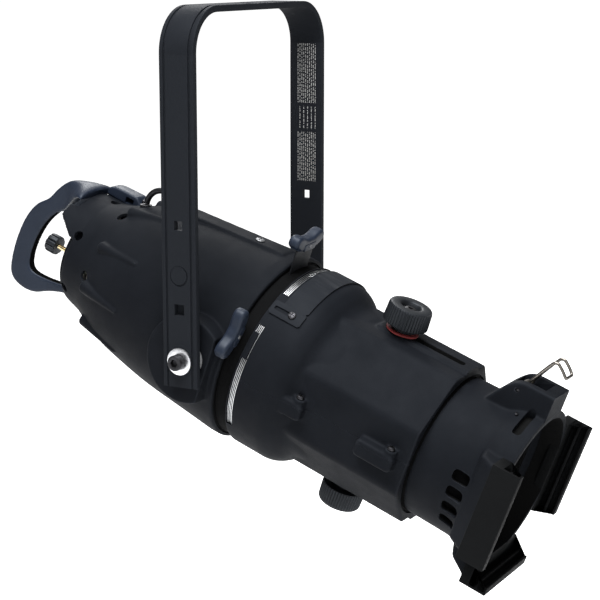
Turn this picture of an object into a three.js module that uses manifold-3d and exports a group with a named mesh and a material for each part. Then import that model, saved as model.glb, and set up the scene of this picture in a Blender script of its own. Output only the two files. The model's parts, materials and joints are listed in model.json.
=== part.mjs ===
// Ellipsoidal stage spotlight: a reflector housing in a steel yoke, a shutter gate,
// a two-piece barrel, a sliding lens tube and an accessory holder.
//
// Millimetres, +Z up. The origin is the centre of the clamp bolt hole on the top face
// of the yoke. The beam leaves towards -Y, and the light hangs tilted down by TILT.
//
// Everything on the light itself is drawn in the optics frame: x to the side,
// y up from the optical axis, z forward along the beam, with the tilt pivot at 0, 0, 0.

import * as THREE from "three";
import { mergeVertices } from "three/addons/utils/BufferGeometryUtils.js";
import Module from "manifold-3d";

const wasm = await Module();
wasm.setup();

// ---------------------------------------------------------------- driving dimensions

const TILT = 20.6;
const GAP = 0.3;

// Yoke: one steel flat bar bent to a U.
const YOKE_WIDTH = 253;
const YOKE_DROP = 336;
const YOKE_TAIL = 26;
const BAR_WIDTH = 38.1;
const BAR_THICKNESS = 6.35;
const YOKE_BEND = 44;
const CLAMP_HOLE = 6.8;
const PIVOT_HOLE = 5.3;

// Reflector housing: radius at stations along the axis, rear to front.
const HOUSING_WALL = 3.5;
const HOUSING_OUTER = [
  [54, -204.5], [58.5, -200.5], [60.5, -195], [65, -178], [74, -158], [82, -136],
  [88.5, -104], [94, -68], [98, -20], [101, 16], [101, 29],
];
const BOSS_FACE = 113;
const BOSS_RADIUS = 44;
const SCOOP_ANGLES = [24, 60, 91, 134];

// Gate, aperture plates and shutters.
const GATE_REAR = 29.6;
const GATE_FRONT = 43.4;
const GATE_RADIUS = 95;
const APERTURE = 39;
const PLATE_RADIUS = 96.8;
const PLATE_THICKNESS = 1.2;
const PLATE_PITCH = 1.7;
const PLATE_START = 45.9;
const GRIP_BASE = 101.6;

// Barrel.
const BARREL_RADIUS = 98.4;
const BARREL_FRONT = 236;
const BARREL_BORE = 76;
const BARREL_SCREW_STATIONS = [113.5, 217];
const SEAM_GAP = 0.15;

// Lens tube, focus knobs and accessory holder.
const TUBE_RADIUS = 71.5;
const TUBE_BORE = 68.5;
const KNOB_STATION = 155;
const PAD_TOP = 84;
const WASHER_TOP = PAD_TOP + GAP + 2;
const HOLDER_HALF = 94.75;
const HOLDER_FRONT = 343;
const CHANNEL_LENGTH = 100;

// ---------------------------------------------------------------- materials

const paint = (color, roughness, metalness = 0.1) => ({ color, roughness, metalness });
const BLACK_PAINT = paint(0x2a2d31, 0.62);
const BLACK_PLASTIC = paint(0x1c1d20, 0.5, 0);
const GREY_GRIP = paint(0x5d626e, 0.55, 0);
const BLACK_STEEL = paint(0x17181a, 0.5, 0.6);
const ZINC = paint(0xd7dadd, 0.3, 0.9);
const STAINLESS = paint(0xb9bfc4, 0.28, 0.9);
const BRASS = paint(0xb08d4a, 0.35, 0.9);
const ALUMINIUM = paint(0xc9ccd0, 0.35, 0.9);
const MIRROR = paint(0xe4e7ea, 0.08, 1);
const GLASS = paint(0xdfe9ea, 0.05, 0);
const CERAMIC = paint(0xe9e4d8, 0.6, 0);
const RED_FIBRE = paint(0xb24a46, 0.7, 0);
const GREY_NYLON = paint(0x6b6e72, 0.7, 0);

// ---------------------------------------------------------------- solids

function signedVolume(positions, triangles) {
  const a = new THREE.Vector3();
  const b = new THREE.Vector3();
  const c = new THREE.Vector3();
  let sum = 0;
  for (let i = 0; i < triangles.length; i += 3) {
    a.fromArray(positions, triangles[i] * 3);
    b.fromArray(positions, triangles[i + 1] * 3);
    c.fromArray(positions, triangles[i + 2] * 3);
    sum += a.dot(b.cross(c)) / 6;
  }
  return sum;
}

// A closed three.js geometry as a solid that can be joined and cut.
function solid(geometry) {
  const bare = geometry.clone();
  bare.deleteAttribute("normal");
  bare.deleteAttribute("uv");
  const merged = mergeVertices(bare, 1e-4);
  const positions = new Float32Array(merged.attributes.position.array);
  const kept = [];
  const index = merged.index.array;
  for (let i = 0; i < index.length; i += 3) {
    const [a, b, c] = [index[i], index[i + 1], index[i + 2]];
    if (a !== b && b !== c && a !== c) {
      kept.push(a, b, c);
    }
  }
  if (signedVolume(positions, kept) < 0) {
    kept.reverse();
  }
  return new wasm.Manifold(new wasm.Mesh({
    numProp: 3,
    vertProperties: positions,
    triVerts: new Uint32Array(kept),
  }));
}

function joined(first, ...others) {
  return others.reduce((whole, piece) => whole.add(piece), first);
}

function cut(body, ...tools) {
  return tools.reduce((rest, tool) => rest.subtract(tool), body);
}

// Turned solid: points are [radius, z], closed on the axis or closed on itself.
function turned(points, segments = 40) {
  const outline = points.map(([radius, z]) => new THREE.Vector2(radius, z));
  const onAxis = points[0][0] === 0 && points[points.length - 1][0] === 0;
  if (!onAxis) {
    outline.push(outline[0].clone());
  }
  return solid(new THREE.LatheGeometry(outline, segments).rotateX(Math.PI / 2));
}

function disc(radius, z0, z1, segments = 40) {
  return turned([[0, z0], [radius, z0], [radius, z1], [0, z1]], segments);
}

function ring(inner, outer, z0, z1, segments = 40) {
  return turned([[inner, z0], [outer, z0], [outer, z1], [inner, z1]], segments);
}

// Box given by its low and high corners.
function boxGeometry(low, high) {
  const size = high.map((value, i) => value - low[i]);
  const centre = high.map((value, i) => (value + low[i]) / 2);
  return new THREE.BoxGeometry(...size).translate(...centre);
}

function block(low, high) {
  return solid(boxGeometry(low, high));
}

// Round rod from one point to another, which may taper.
function rod(from, to, radius, segments = 12, endRadius = radius) {
  const start = new THREE.Vector3(...from);
  const end = new THREE.Vector3(...to);
  const length = start.distanceTo(end);
  const geometry = new THREE.CylinderGeometry(endRadius, radius, length, segments);
  const turn = new THREE.Quaternion().setFromUnitVectors(
    new THREE.Vector3(0, 1, 0), end.clone().sub(start).normalize());
  geometry.applyQuaternion(turn);
  geometry.translate(...start.add(end).multiplyScalar(0.5).toArray());
  return solid(geometry);
}

// Flat outline drawn in x and y, extruded from z0 to z1.
function extruded(shape, z0, z1, curveSegments = 16) {
  const settings = { depth: z1 - z0, bevelEnabled: false, curveSegments };
  return solid(new THREE.ExtrudeGeometry(shape, settings).translate(0, 0, z0));
}

function polygon(points) {
  return new THREE.Shape(points.map(([x, y]) => new THREE.Vector2(x, y)));
}

// Side view outline, points [z, y], extruded across from x0 to x1.
const SIDE_VIEW = new THREE.Matrix4().makeBasis(
  new THREE.Vector3(0, 0, 1), new THREE.Vector3(0, 1, 0), new THREE.Vector3(1, 0, 0));

function sideProfile(shape, x0, x1, curveSegments = 10) {
  const settings = { depth: x1 - x0, bevelEnabled: false, curveSegments };
  const geometry = new THREE.ExtrudeGeometry(shape, settings);
  geometry.applyMatrix4(SIDE_VIEW);
  return solid(geometry.translate(x0, 0, 0));
}

const degrees = (angle) => THREE.MathUtils.degToRad(angle);

// Part of a ring between two angles, counted from +x towards +y.
function sector(inner, outer, z0, z1, from, to, curveSegments = 16) {
  const shape = new THREE.Shape();
  shape.absarc(0, 0, outer, degrees(from), degrees(to), false);
  shape.absarc(0, 0, inner, degrees(to), degrees(from), true);
  shape.closePath();
  return extruded(shape, z0, z1, curveSegments);
}

function geometryOf(body) {
  const mesh = body.getMesh();
  const geometry = new THREE.BufferGeometry();
  geometry.setAttribute("position", new THREE.BufferAttribute(mesh.vertProperties, 3));
  geometry.setIndex(new THREE.BufferAttribute(mesh.triVerts, 1));
  geometry.computeVertexNormals();
  return geometry;
}

function piece(name, body, look) {
  const mesh = new THREE.Mesh(geometryOf(body), new THREE.MeshStandardMaterial(look));
  mesh.name = name;
  return mesh;
}

// ---------------------------------------------------------------- yoke

// Outline of the bent bar, seen from the front, grown or shrunk by an offset.
function yokeOutline(offset) {
  const half = YOKE_WIDTH / 2 + offset;
  const top = offset;
  const bottom = -YOKE_DROP - YOKE_TAIL;
  const bend = YOKE_BEND + offset;
  const shape = new THREE.Shape();
  shape.moveTo(-half, bottom);
  shape.lineTo(half, bottom);
  shape.lineTo(half, top - bend);
  shape.absarc(half - bend, top - bend, bend, 0, Math.PI / 2, false);
  shape.lineTo(-half + bend, top);
  shape.absarc(-half + bend, top - bend, bend, Math.PI / 2, Math.PI, false);
  shape.closePath();
  return shape;
}

// A slab of a front view outline between two depths across the bar.
function frontSlab(shape, y0, y1) {
  const settings = { depth: y1 - y0, bevelEnabled: false, curveSegments: 8 };
  const geometry = new THREE.ExtrudeGeometry(shape, settings).rotateX(Math.PI / 2);
  return solid(geometry.translate(0, y1, 0));
}

function yoke() {
  const grooveInset = 5.3;
  const grooveWidth = 1.4;
  const grooveDepth = 1;
  const edge = BAR_WIDTH / 2;
  let bar = frontSlab(yokeOutline(0), -edge, edge);
  bar = cut(bar, frontSlab(yokeOutline(-BAR_THICKNESS), -edge - 1, edge + 1));
  const armFoot = -YOKE_DROP - YOKE_TAIL;
  bar = cut(bar, block(
    [-YOKE_WIDTH / 2 + BAR_THICKNESS, -edge - 1, armFoot - 1],
    [YOKE_WIDTH / 2 - BAR_THICKNESS, edge + 1, armFoot + 40]));
  for (const side of [-1, 1]) {
    const centre = side * (edge - grooveInset);
    const [near, far] = [centre - grooveWidth / 2, centre + grooveWidth / 2];
    const outside = frontSlab(yokeOutline(2), near, far);
    const core = frontSlab(yokeOutline(-grooveDepth), near - 1, far + 1);
    bar = cut(bar, cut(outside, core));
  }
  return cut(bar, ...yokeHoles());
}

function yokeHoles() {
  const squareHole = 9;
  const squareHeight = 131.5 - YOKE_DROP;
  const slotSize = 11;
  const slotHeight = 50 - YOKE_DROP;
  const knockoutHeight = 83 - YOKE_DROP;
  const knockoutRadius = 10;
  const reach = YOKE_WIDTH;
  const face = YOKE_WIDTH / 2;
  const square = (size, height, x0, x1) => block(
    [x0, -size / 2, height - size / 2], [x1, size / 2, height + size / 2]);
  const holes = [
    rod([0, 0, -20], [0, 0, 5], CLAMP_HOLE),
    rod([-reach, 0, -YOKE_DROP], [reach, 0, -YOKE_DROP], PIVOT_HOLE),
    square(squareHole, squareHeight, -reach, reach),
  ];
  for (const side of [-1, 1]) {
    const [x0, x1] = side < 0 ? [-reach, -face + 3] : [face - 3, reach];
    holes.push(square(slotSize, slotHeight, x0, x1));
    const shallow = side * (face - 1);
    holes.push(rod([shallow, 0, knockoutHeight], [side * reach, 0, knockoutHeight], knockoutRadius));
  }
  return holes;
}

// Bolts, washers and spacers of the tilt pivot, along x at the pivot height.
function pivotPart(stations, radius, hole = 0) {
  const [x0, x1] = stations;
  const body = rod([x0, 0, -YOKE_DROP], [x1, 0, -YOKE_DROP], radius, 24);
  if (hole === 0) {
    return body;
  }
  return cut(body, rod([x0 - 5, 0, -YOKE_DROP], [x1 + 5, 0, -YOKE_DROP], hole, 16));
}

const ARM_OUTER = YOKE_WIDTH / 2;
const ARM_INNER = ARM_OUTER - BAR_THICKNESS;
const WASHER_THICKNESS = 2.2;
const WASHER_FACE = ARM_OUTER + GAP + WASHER_THICKNESS;
const BOLT_SHANK = 4.9;
const BOLT_INNER_END = 101;

function pivotBolt() {
  const head = pivotPart([-WASHER_FACE - GAP - 8, -WASHER_FACE - GAP], 7.6);
  const shank = pivotPart([-WASHER_FACE - 1, -BOLT_INNER_END], BOLT_SHANK);
  const centre = -WASHER_FACE - GAP - 8;
  const socket = new THREE.CylinderGeometry(4.4, 4.4, 8, 6).rotateZ(Math.PI / 2);
  socket.translate(centre, 0, -YOKE_DROP);
  return cut(joined(head, shank), solid(socket));
}

// Lobed tilt lock knob on the far arm.
function tiltLockKnob() {
  const knobStart = WASHER_FACE + GAP;
  const knobEnd = knobStart + 22;
  const lobes = 5;
  let body = pivotPart([knobStart, knobEnd], 17);
  for (let i = 0; i < lobes; i += 1) {
    const angle = (i * 2 * Math.PI) / lobes;
    const y = 15 * Math.cos(angle);
    const z = -YOKE_DROP + 15 * Math.sin(angle);
    body = joined(body, rod([knobStart + 8, y, z], [knobEnd, y, z], 7.5, 12));
  }
  return cut(body, pivotPart([knobStart - 1, knobEnd - 4], BOLT_SHANK + GAP));
}

function tiltLockStud() {
  return pivotPart([BOLT_INNER_END, WASHER_FACE + 17], BOLT_SHANK);
}

function pivotSpacer(side) {
  const ends = [side * (BOSS_FACE + GAP), side * (ARM_INNER - GAP)].sort((a, b) => a - b);
  return pivotPart(ends, 17, PIVOT_HOLE);
}

function pivotWasher(side) {
  const ends = [side * (ARM_OUTER + GAP), side * WASHER_FACE].sort((a, b) => a - b);
  return pivotPart(ends, 13.3, PIVOT_HOLE);
}

// ---------------------------------------------------------------- reflector housing

// Solid of the housing's outside, grown by a clearance.
function housingEnvelope(clearance = 0) {
  const rear = HOUSING_OUTER[0][1];
  const front = HOUSING_OUTER[HOUSING_OUTER.length - 1][1];
  const skin = HOUSING_OUTER.map(([radius, z]) => [radius + clearance, z]);
  return turned([[0, rear], ...skin, [0, front]]);
}

function housingRadius(station) {
  const next = HOUSING_OUTER.findIndex(([, z]) => z >= station);
  const [r1, z1] = HOUSING_OUTER[next];
  const [r0, z0] = HOUSING_OUTER[Math.max(next - 1, 0)];
  return z1 === z0 ? r1 : r0 + ((r1 - r0) * (station - z0)) / (z1 - z0);
}

function housingCavity() {
  const stations = HOUSING_OUTER.filter((_, i) => i === 3 || i % 2 === 0);
  const skin = stations.map(([radius, z]) => [radius - HOUSING_WALL, z]);
  const [rearRadius, rear] = skin[0];
  const [frontRadius, front] = skin[skin.length - 1];
  return turned([
    [0, rear - 10], [rearRadius, rear - 10], ...skin, [frontRadius, front + 10], [0, front + 10],
  ]);
}

// A point on a circle about the axis. The angle is counted from the top towards +x.
function around(radius, angleFromTop, z) {
  const angle = degrees(angleFromTop);
  return [radius * Math.sin(angle), radius * Math.cos(angle), z];
}

// Scoops are hooded vents: a tapered hood that opens to the rear.
function scoopHood(angle) {
  const [rear, front] = [-164, -104];
  return rod(
    around(housingRadius(rear) - 3, angle, rear), around(housingRadius(front) - 1, angle, front),
    8.5, 10, 3);
}

function scoopVent(angle) {
  const [rear, front] = [-172, -148];
  return rod(
    around(housingRadius(rear) + 1, angle, rear), around(housingRadius(front) - 9, angle, front),
    6, 10);
}

function neckVents() {
  const station = -196;
  const vents = [];
  for (let angle = 0; angle < 360; angle += 60) {
    vents.push(rod(around(40, angle, station), around(75, angle, station), 5.5, 10));
  }
  return vents;
}

function pivotBoss(side) {
  const disk = rod(
    [side * 70, -4, -4], [side * BOSS_FACE, -4, -4], BOSS_RADIUS, 36);
  const trimmed = cut(disk, block([-150, -80, 22], [150, 80, 80]));
  const recess = block([side * BOSS_FACE - 2, -8, 13], [side * BOSS_FACE + 2, -3, 18]);
  return cut(trimmed, recess);
}

function topRib() {
  const outline = polygon([[-114, 70], [-111, 93], [-5, 101.5], [16, 102.4], [16, 80]]);
  return sideProfile(outline, -13, 13);
}

function reflectorHousing() {
  const scoops = SCOOP_ANGLES.flatMap((angle) => [angle, -angle]);
  const hoods = scoops.map(scoopHood);
  const neck = joined(housingEnvelope(), neckPeak());
  let body = joined(neck, pivotBoss(-1), pivotBoss(1), topRib(), ...hoods);
  body = cut(body, housingCavity());
  body = cut(body, ...scoops.map(scoopVent), ...neckVents());
  return cut(body, rod([-150, 0, 0], [150, 0, 0], PIVOT_HOLE));
}

// Shallow ellipsoidal shell with a hole for the lamp at its rear.
function reflector() {
  const mouth = -35;
  const [halfWidth, halfLength] = [86, 140];
  const shell = 2.4;
  const steps = 7;
  const rearAngle = Math.acos(20 / halfWidth);
  const curve = (grow) => Array.from({ length: steps + 1 }, (_, i) => {
    const angle = (rearAngle * i) / steps;
    return [(halfWidth + grow) * Math.cos(angle), mouth - (halfLength + grow) * Math.sin(angle)];
  });
  return turned([...curve(shell), ...curve(0).reverse()], 28);
}

// ---------------------------------------------------------------- lamp cap and lamp

const NECK_REAR = HOUSING_OUTER[0][1];
const CAP_REAR = NECK_REAR - 3.6;
const CAP_RADIUS = 54;
const PEAK_REAR = -219;
const PEAK_RADIUS = 60.3;
const LAMP_SCREW_HEIGHT = -16;
const LAMP_KNOB_REAR = -262;
const LAMP_KNOB_FRONT = -249;

function lampCap() {
  const skirt = HOUSING_OUTER[0][0] - HOUSING_WALL - 0.4;
  const skirtFront = NECK_REAR + 8;
  const rimFront = NECK_REAR - GAP;
  const shell = turned([
    [0, CAP_REAR], [CAP_RADIUS - 2, CAP_REAR], [CAP_RADIUS, CAP_REAR + 1.5],
    [CAP_RADIUS, rimFront], [skirt, rimFront], [skirt, skirtFront], [skirt - 3, skirtFront],
    [skirt - 3, NECK_REAR], [0, NECK_REAR],
  ]);
  const screwHole = axialRod(0, LAMP_SCREW_HEIGHT, CAP_REAR - 5, NECK_REAR + 5, 3.1, 16);
  return cut(shell, screwHole);
}

// Top of the neck, which runs on to the rear over the cap and steps back at its sides.
function neckPeak() {
  const inner = CAP_RADIUS + 2.5;
  const front = NECK_REAR + 7;
  const besideSaddle = 34;
  const middle = sector(inner, PEAK_RADIUS, PEAK_REAR, front, 50, 130, 6);
  const sides = [[PEAK_REAR - 9, 50], [PEAK_REAR + 3, 60]].flatMap(([rear, reach]) => [
    sector(inner, PEAK_RADIUS, rear, front, 90 - reach, 90 - besideSaddle, 3),
    sector(inner, PEAK_RADIUS, rear, front, 90 + besideSaddle, 90 + reach, 3),
  ]);
  return joined(middle, ...sides);
}

// Side view outline of the carrying handle: a loop behind the cap, with a waist in its
// upper part.
function handleOutline() {
  const capFace = CAP_REAR - GAP;
  const saddleFront = PEAK_REAR - GAP;
  const shape = new THREE.Shape();
  shape.moveTo(capFace, CAP_RADIUS - 1);
  shape.lineTo(saddleFront, CAP_RADIUS - 1);
  shape.lineTo(saddleFront, 67);
  shape.splineThru([
    [-240, 65.5], [-256, 59], [-267, 46], [-276, 30], [-289, 17], [-298, -3],
    [-302, -30], [-301, -58], [-295, -73], [-280, -79], [-262, -77.5], [-243, -67.5], [-222, -64],
  ].map(([z, y]) => new THREE.Vector2(z, y)));
  shape.lineTo(-212, -61.5);
  shape.lineTo(capFace, -61.5);
  shape.lineTo(capFace, -50);
  shape.splineThru([
    [-235, -53], [-258, -56], [-273, -54], [-278, -42], [-277, -20], [-270, 4], [-257, 24],
    [-246, 31], [-232, 36], [capFace, 42],
  ].map(([z, y]) => new THREE.Vector2(z, y)));
  shape.closePath();
  return shape;
}

function rearHandle() {
  const halfWidth = 5.5;
  const saddleFront = PEAK_REAR - GAP;
  const saddle = sector(CAP_RADIUS, 65, -232, saddleFront, 90 - 31, 90 + 31, 6);
  return joined(sideProfile(handleOutline(), -halfWidth, halfWidth, 2), saddle);
}

// Rod parallel to the axis, offset from it.
function axialRod(x, y, z0, z1, radius, segments = 24) {
  return rod([x, y, z0], [x, y, z1], radius, segments);
}

function lampKnob() {
  const flutes = 10;
  const y = LAMP_SCREW_HEIGHT;
  let body = axialRod(0, y, LAMP_KNOB_REAR, LAMP_KNOB_FRONT, 10.5, 20);
  for (let i = 0; i < flutes; i += 1) {
    const [dx, dy] = around(11.7, (i * 360) / flutes, 0);
    body = cut(body, axialRod(dx, y + dy, LAMP_KNOB_REAR - 1, LAMP_KNOB_FRONT + 1, 2.2, 6));
  }
  return cut(body, axialRod(0, y, LAMP_KNOB_FRONT - 9, LAMP_KNOB_FRONT + 1, 2.9));
}

function lampAdjustingScrew() {
  return axialRod(0, LAMP_SCREW_HEIGHT, LAMP_KNOB_FRONT - 8, -192, 2.6);
}

// Plate and socket that slide inside the cap, with a nut for the adjusting screw.
function lampHolder() {
  const plate = disc(44, -201.4, -197.9, 32);
  const socket = disc(17, -198, -184, 24);
  const nut = axialRod(0, LAMP_SCREW_HEIGHT, -202.4, -187.4, 3);
  return cut(joined(plate, socket), nut);
}

function lampBulb() {
  return turned([[0, -159.5], [9, -159.5], [9, -118], [7.5, -112], [4, -108], [0, -107]], 20);
}

function lampBase() {
  const fins = 3;
  const [rear, front] = [-183.6, -160];
  const profile = [[0, rear], [12, rear]];
  for (let i = 0; i < fins; i += 1) {
    const start = rear + 3.6 + i * 6.5;
    profile.push([12, start], [15.5, start], [15.5, start + 3], [12, start + 3]);
  }
  return turned([...profile, [12, front], [0, front]], 20);
}

// Entry block for the supply lead, on the far side of the neck's top.
function cableGland() {
  const outline = polygon([
    [-218.6, 61], [-217, 67], [-212, 70], [-205, 70.5], [-182, 71], [-174, 62], [-174, 50],
    [-210, 50],
  ]);
  const overPeak = disc(PEAK_RADIUS + GAP + 0.1, PEAK_REAR - 10, NECK_REAR + 8);
  const body = cut(sideProfile(outline, 15, 33), housingEnvelope(GAP + 0.1), overPeak);
  const pocket = block([10, 60.5, -202], [27, 67.5, -192]);
  const leadHole = rod([25, 68, -165], [25, 66, -188], 2.6);
  return cut(body, pocket, leadHole);
}

// Steel eye for the safety bond, standing on the housing behind the yoke arm.
function safetyEye() {
  const centre = new THREE.Vector3(0, 79, -141);
  const [bend, wire] = [19, 3.2];
  const section = new THREE.Shape();
  section.absarc(0, 0, wire, 0, 2 * Math.PI);
  const arch = new THREE.CatmullRomCurve3(Array.from({ length: 13 }, (_, i) => {
    const angle = degrees(-40 + (260 * i) / 12);
    return new THREE.Vector3(
      0, centre.y + bend * Math.sin(angle), centre.z - bend * Math.cos(angle));
  }));
  const settings = { steps: 24, bevelEnabled: false, extrudePath: arch, curveSegments: 3 };
  return cut(solid(new THREE.ExtrudeGeometry(section, settings)), housingEnvelope(GAP));
}

// ---------------------------------------------------------------- gate and shutters

// Blade planes along the axis, and where each shutter stands about it.
// "drawn" is how far the shutter is pulled out of the fully closed place.
const SHUTTERS = [
  { name: "near", angle: -68, station: 31, drawn: 0 },
  { name: "top", angle: -5, station: 32.7, drawn: 17 },
  { name: "bottom", angle: 152, station: 34.4, drawn: 0 },
  { name: "far", angle: 68, station: 36.1, drawn: 0 },
];
const BLADE_THICKNESS = 0.9;
const TANG_WIDTH = 34;
const HALF_STEM = 9;
const GRIP_MIDDLE = 31.4;
const GRIP_DEPTH = 12.6;

function turnedAbout(geometry, shutter) {
  return solid(geometry.rotateZ(-degrees(shutter.angle)));
}

// Blade with a broad shade and a narrower tang that carries the grip.
function shutterBlade(shutter) {
  const tangEnd = GRIP_BASE + 11 + shutter.drawn;
  const [closedEdge, shadeEnd, halfShade] = [-2 + shutter.drawn, 38 + shutter.drawn, 40];
  const halfTang = TANG_WIDTH / 2;
  const shoulder = GRIP_BASE + shutter.drawn - GAP;
  const right = [
    [halfShade, closedEdge], [halfShade, shadeEnd - 8], [halfTang, shadeEnd],
    [halfTang, shoulder], [HALF_STEM, shoulder], [HALF_STEM, tangEnd],
  ];
  const left = right.map(([x, y]) => [-x, y]).reverse();
  const settings = { depth: BLADE_THICKNESS, bevelEnabled: false };
  const geometry = new THREE.ExtrudeGeometry(polygon([...right, ...left]), settings);
  return turnedAbout(geometry.translate(0, 0, shutter.station - BLADE_THICKNESS / 2), shutter);
}

// The grip has a horn at each side. It stays inside the yoke arms when the barrel turns.
function gripOutline(base) {
  const right = [[22, 3.5], [26, 9], [24, 15], [15, 16.5], [6, 12.5]];
  const left = right.map(([x, y]) => [-x, y]).reverse();
  const shape = new THREE.Shape();
  shape.moveTo(-15, base);
  shape.lineTo(15, base);
  shape.splineThru([...right, ...left, [-15, 0]].map(([x, y]) => new THREE.Vector2(x, base + y)));
  return shape;
}

function shutterGrip(shutter) {
  const base = GRIP_BASE + shutter.drawn;
  const settings = { depth: GRIP_DEPTH, bevelEnabled: false, curveSegments: 3 };
  const grip = new THREE.ExtrudeGeometry(gripOutline(base), settings);
  const [slotWidth, slotDepth] = [2 * (HALF_STEM + GAP), BLADE_THICKNESS + 2 * GAP];
  const slot = new THREE.BoxGeometry(slotWidth, 13, slotDepth);
  return cut(
    turnedAbout(grip.translate(0, 0, GRIP_MIDDLE - GRIP_DEPTH / 2), shutter),
    turnedAbout(slot.translate(0, base + 4.9, shutter.station), shutter));
}

function gateBody() {
  const shell = turned([
    [APERTURE, GATE_FRONT - 3.6], [GATE_RADIUS - 5, GATE_FRONT - 3.6], [GATE_RADIUS - 5, GATE_REAR],
    [GATE_RADIUS, GATE_REAR], [GATE_RADIUS, GATE_FRONT], [APERTURE, GATE_FRONT],
  ]);
  const slots = SHUTTERS.map((shutter) => {
    const slot = new THREE.BoxGeometry(TANG_WIDTH + 1.2, 30, BLADE_THICKNESS + 0.8);
    return turnedAbout(slot.translate(0, GATE_RADIUS, shutter.station), shutter);
  });
  return cut(shell, ...slots);
}

function gatePlate(number) {
  const start = PLATE_START + (number - 1) * PLATE_PITCH;
  return ring(APERTURE + 2, PLATE_RADIUS, start, start + PLATE_THICKNESS);
}

// ---------------------------------------------------------------- barrel

const SHOULDER = [
  [BARREL_RADIUS, 43.8], [BARREL_RADIUS, 84], [92, 98], [84, 108], [80.8, 122],
];

function barrelCavity() {
  const pocket = PLATE_RADIUS + 0.3;
  return turned([
    [0, 30], [88, 30], [88, 45.6], [pocket, 45.6], [pocket, 52.8], [88, 52.8], [88, 55],
    [94.5, 55], [94.5, 82], [88, 95.5], [80, 106], [77.6, 122], [BARREL_BORE, 124],
    [BARREL_BORE, BARREL_FRONT + 5], [0, BARREL_FRONT + 5],
  ]);
}

// Windows that show the edges of the aperture plates, as angles from +x.
function plateWindows() {
  const [start, end] = [45.6, 52.8];
  const spans = [[57, 123], [146, 151], [167.5, 215]];
  const mirrored = spans.slice(1).map(([from, to]) => [180 - to, 180 - from]);
  const tall = [...spans, ...mirrored].map(([from, to]) => sector(90, 105, start, end, from, to, 12));
  const thinSpans = [[151, 167], [13, 29]];
  const thin = thinSpans.map(([from, to]) => sector(90, 105, end - 2, end, from, to, 6));
  return [...tall, ...thin];
}

function focusPad(side) {
  const [low, high] = [70 * side, PAD_TOP * side].sort((a, b) => a - b);
  return block([-13, low, 138], [13, high, 234]);
}

function focusSlot() {
  return block([-5.2, -110, KNOB_STATION - 6], [5.2, 110, KNOB_STATION + 72]);
}

function seamBosses() {
  return BARREL_SCREW_STATIONS.flatMap((station) => [-1, 1].map((side) => joined(
    rod([side * 84, -14, station], [side * 84, 9, station], 7.5, 24),
    block([side * 84 - 4, -14, station - 16], [side * 84 + 4, 5, station + 16]))));
}

// Bore and head pocket of each seam screw.
function screwHoles() {
  return BARREL_SCREW_STATIONS.flatMap((station) => [-1, 1].map((side) => joined(
    rod([side * 86, -20, station], [side * 86, 12, station], 2.3),
    rod([side * 86, 9, station], [side * 86, 26, station], 5))));
}

// The front of the barrel is a rounded octagon with corners at the seam.
function barrelFront() {
  const [start, flats, corners] = [100, 80.4, 83.6];
  const octagon = new THREE.CylinderGeometry(1, 1, BARREL_FRONT - start, 8);
  const corner = flats / Math.cos(Math.PI / 8);
  octagon.rotateX(Math.PI / 2).scale(corner, corner, 1);
  octagon.translate(0, 0, (BARREL_FRONT + start) / 2);
  return solid(octagon).intersect(disc(corners, start, BARREL_FRONT + 1));
}

function barrelShell() {
  const rear = turned([[0, 43.8], ...SHOULDER, [0, 122]]);
  const body = joined(rear, barrelFront(), focusPad(1), focusPad(-1), ...seamBosses());
  const cover = coverScrewHoles();
  return cut(body, barrelCavity(), focusSlot(), ...plateWindows(), ...screwHoles(), ...cover);
}

function barrelHalf(side) {
  const [low, high] = [SEAM_GAP * side, 150 * side].sort((a, b) => a - b);
  let half = barrelShell().intersect(block([-150, low, 0], [150, high, 300]));
  if (side > 0) {
    half = cut(half, block([-48, 60, 58], [48, 110, 66]));
  }
  return half;
}

function barrelScrew(station, side) {
  const x = side * 86;
  const head = rod([x, 9.3, station], [x, 12, station], 4.2, 20);
  return joined(head, rod([x, -12, station], [x, 9.5, station], 2, 16));
}

// Cover over the pattern slot: a curved band with a slotted tab at each end.
const COVER_ANGLE = 43.5;
const COVER_INNER = BARREL_RADIUS + 0.4;
const COVER_OUTER = COVER_INNER + 1.2;
const COVER_SCREW_STATION = 69.8;

function coverScrewHoles() {
  return [COVER_ANGLE, -COVER_ANGLE].map((angle) => rod(
    around(88, angle, COVER_SCREW_STATION), around(105, angle, COVER_SCREW_STATION), 1.7, 12));
}

function patternCover() {
  const band = sector(COVER_INNER, COVER_OUTER, 55.5, 82.5, 90 - 40, 90 + 40, 14);
  const tabs = [90 - COVER_ANGLE, 90 + COVER_ANGLE].map(
    (angle) => sector(COVER_INNER, COVER_OUTER, 46, 82.5, angle - 4.5, angle + 4.5, 4));
  const slots = [COVER_ANGLE, -COVER_ANGLE].map((angle) => {
    const slot = new THREE.BoxGeometry(4.4, 20, 22.5);
    slot.translate(0, COVER_INNER, COVER_SCREW_STATION - 9);
    return solid(slot.rotateZ(-degrees(angle)));
  });
  return cut(joined(band, ...tabs), ...slots);
}

function coverScrew(side) {
  const angle = side * COVER_ANGLE;
  const at = (radius) => around(radius, angle, COVER_SCREW_STATION);
  return joined(
    rod(at(COVER_OUTER + 0.3), at(COVER_OUTER + 2.4), 4, 20),
    rod(at(92), at(COVER_OUTER + 0.5), 1.4, 12));
}

// ---------------------------------------------------------------- lens tube

// Cooling slots in both sides of the tube and the holder's sleeve.
function tubeVents() {
  const station = 285;
  return [9.5, -4, -17.5, -31].flatMap((angle) => [angle, 180 - angle].map((turn) => {
    const vent = new THREE.BoxGeometry(20, 10.5, 20).translate(-TUBE_RADIUS, 0, station);
    return solid(vent.rotateZ(-degrees(turn)));
  }));
}

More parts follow.
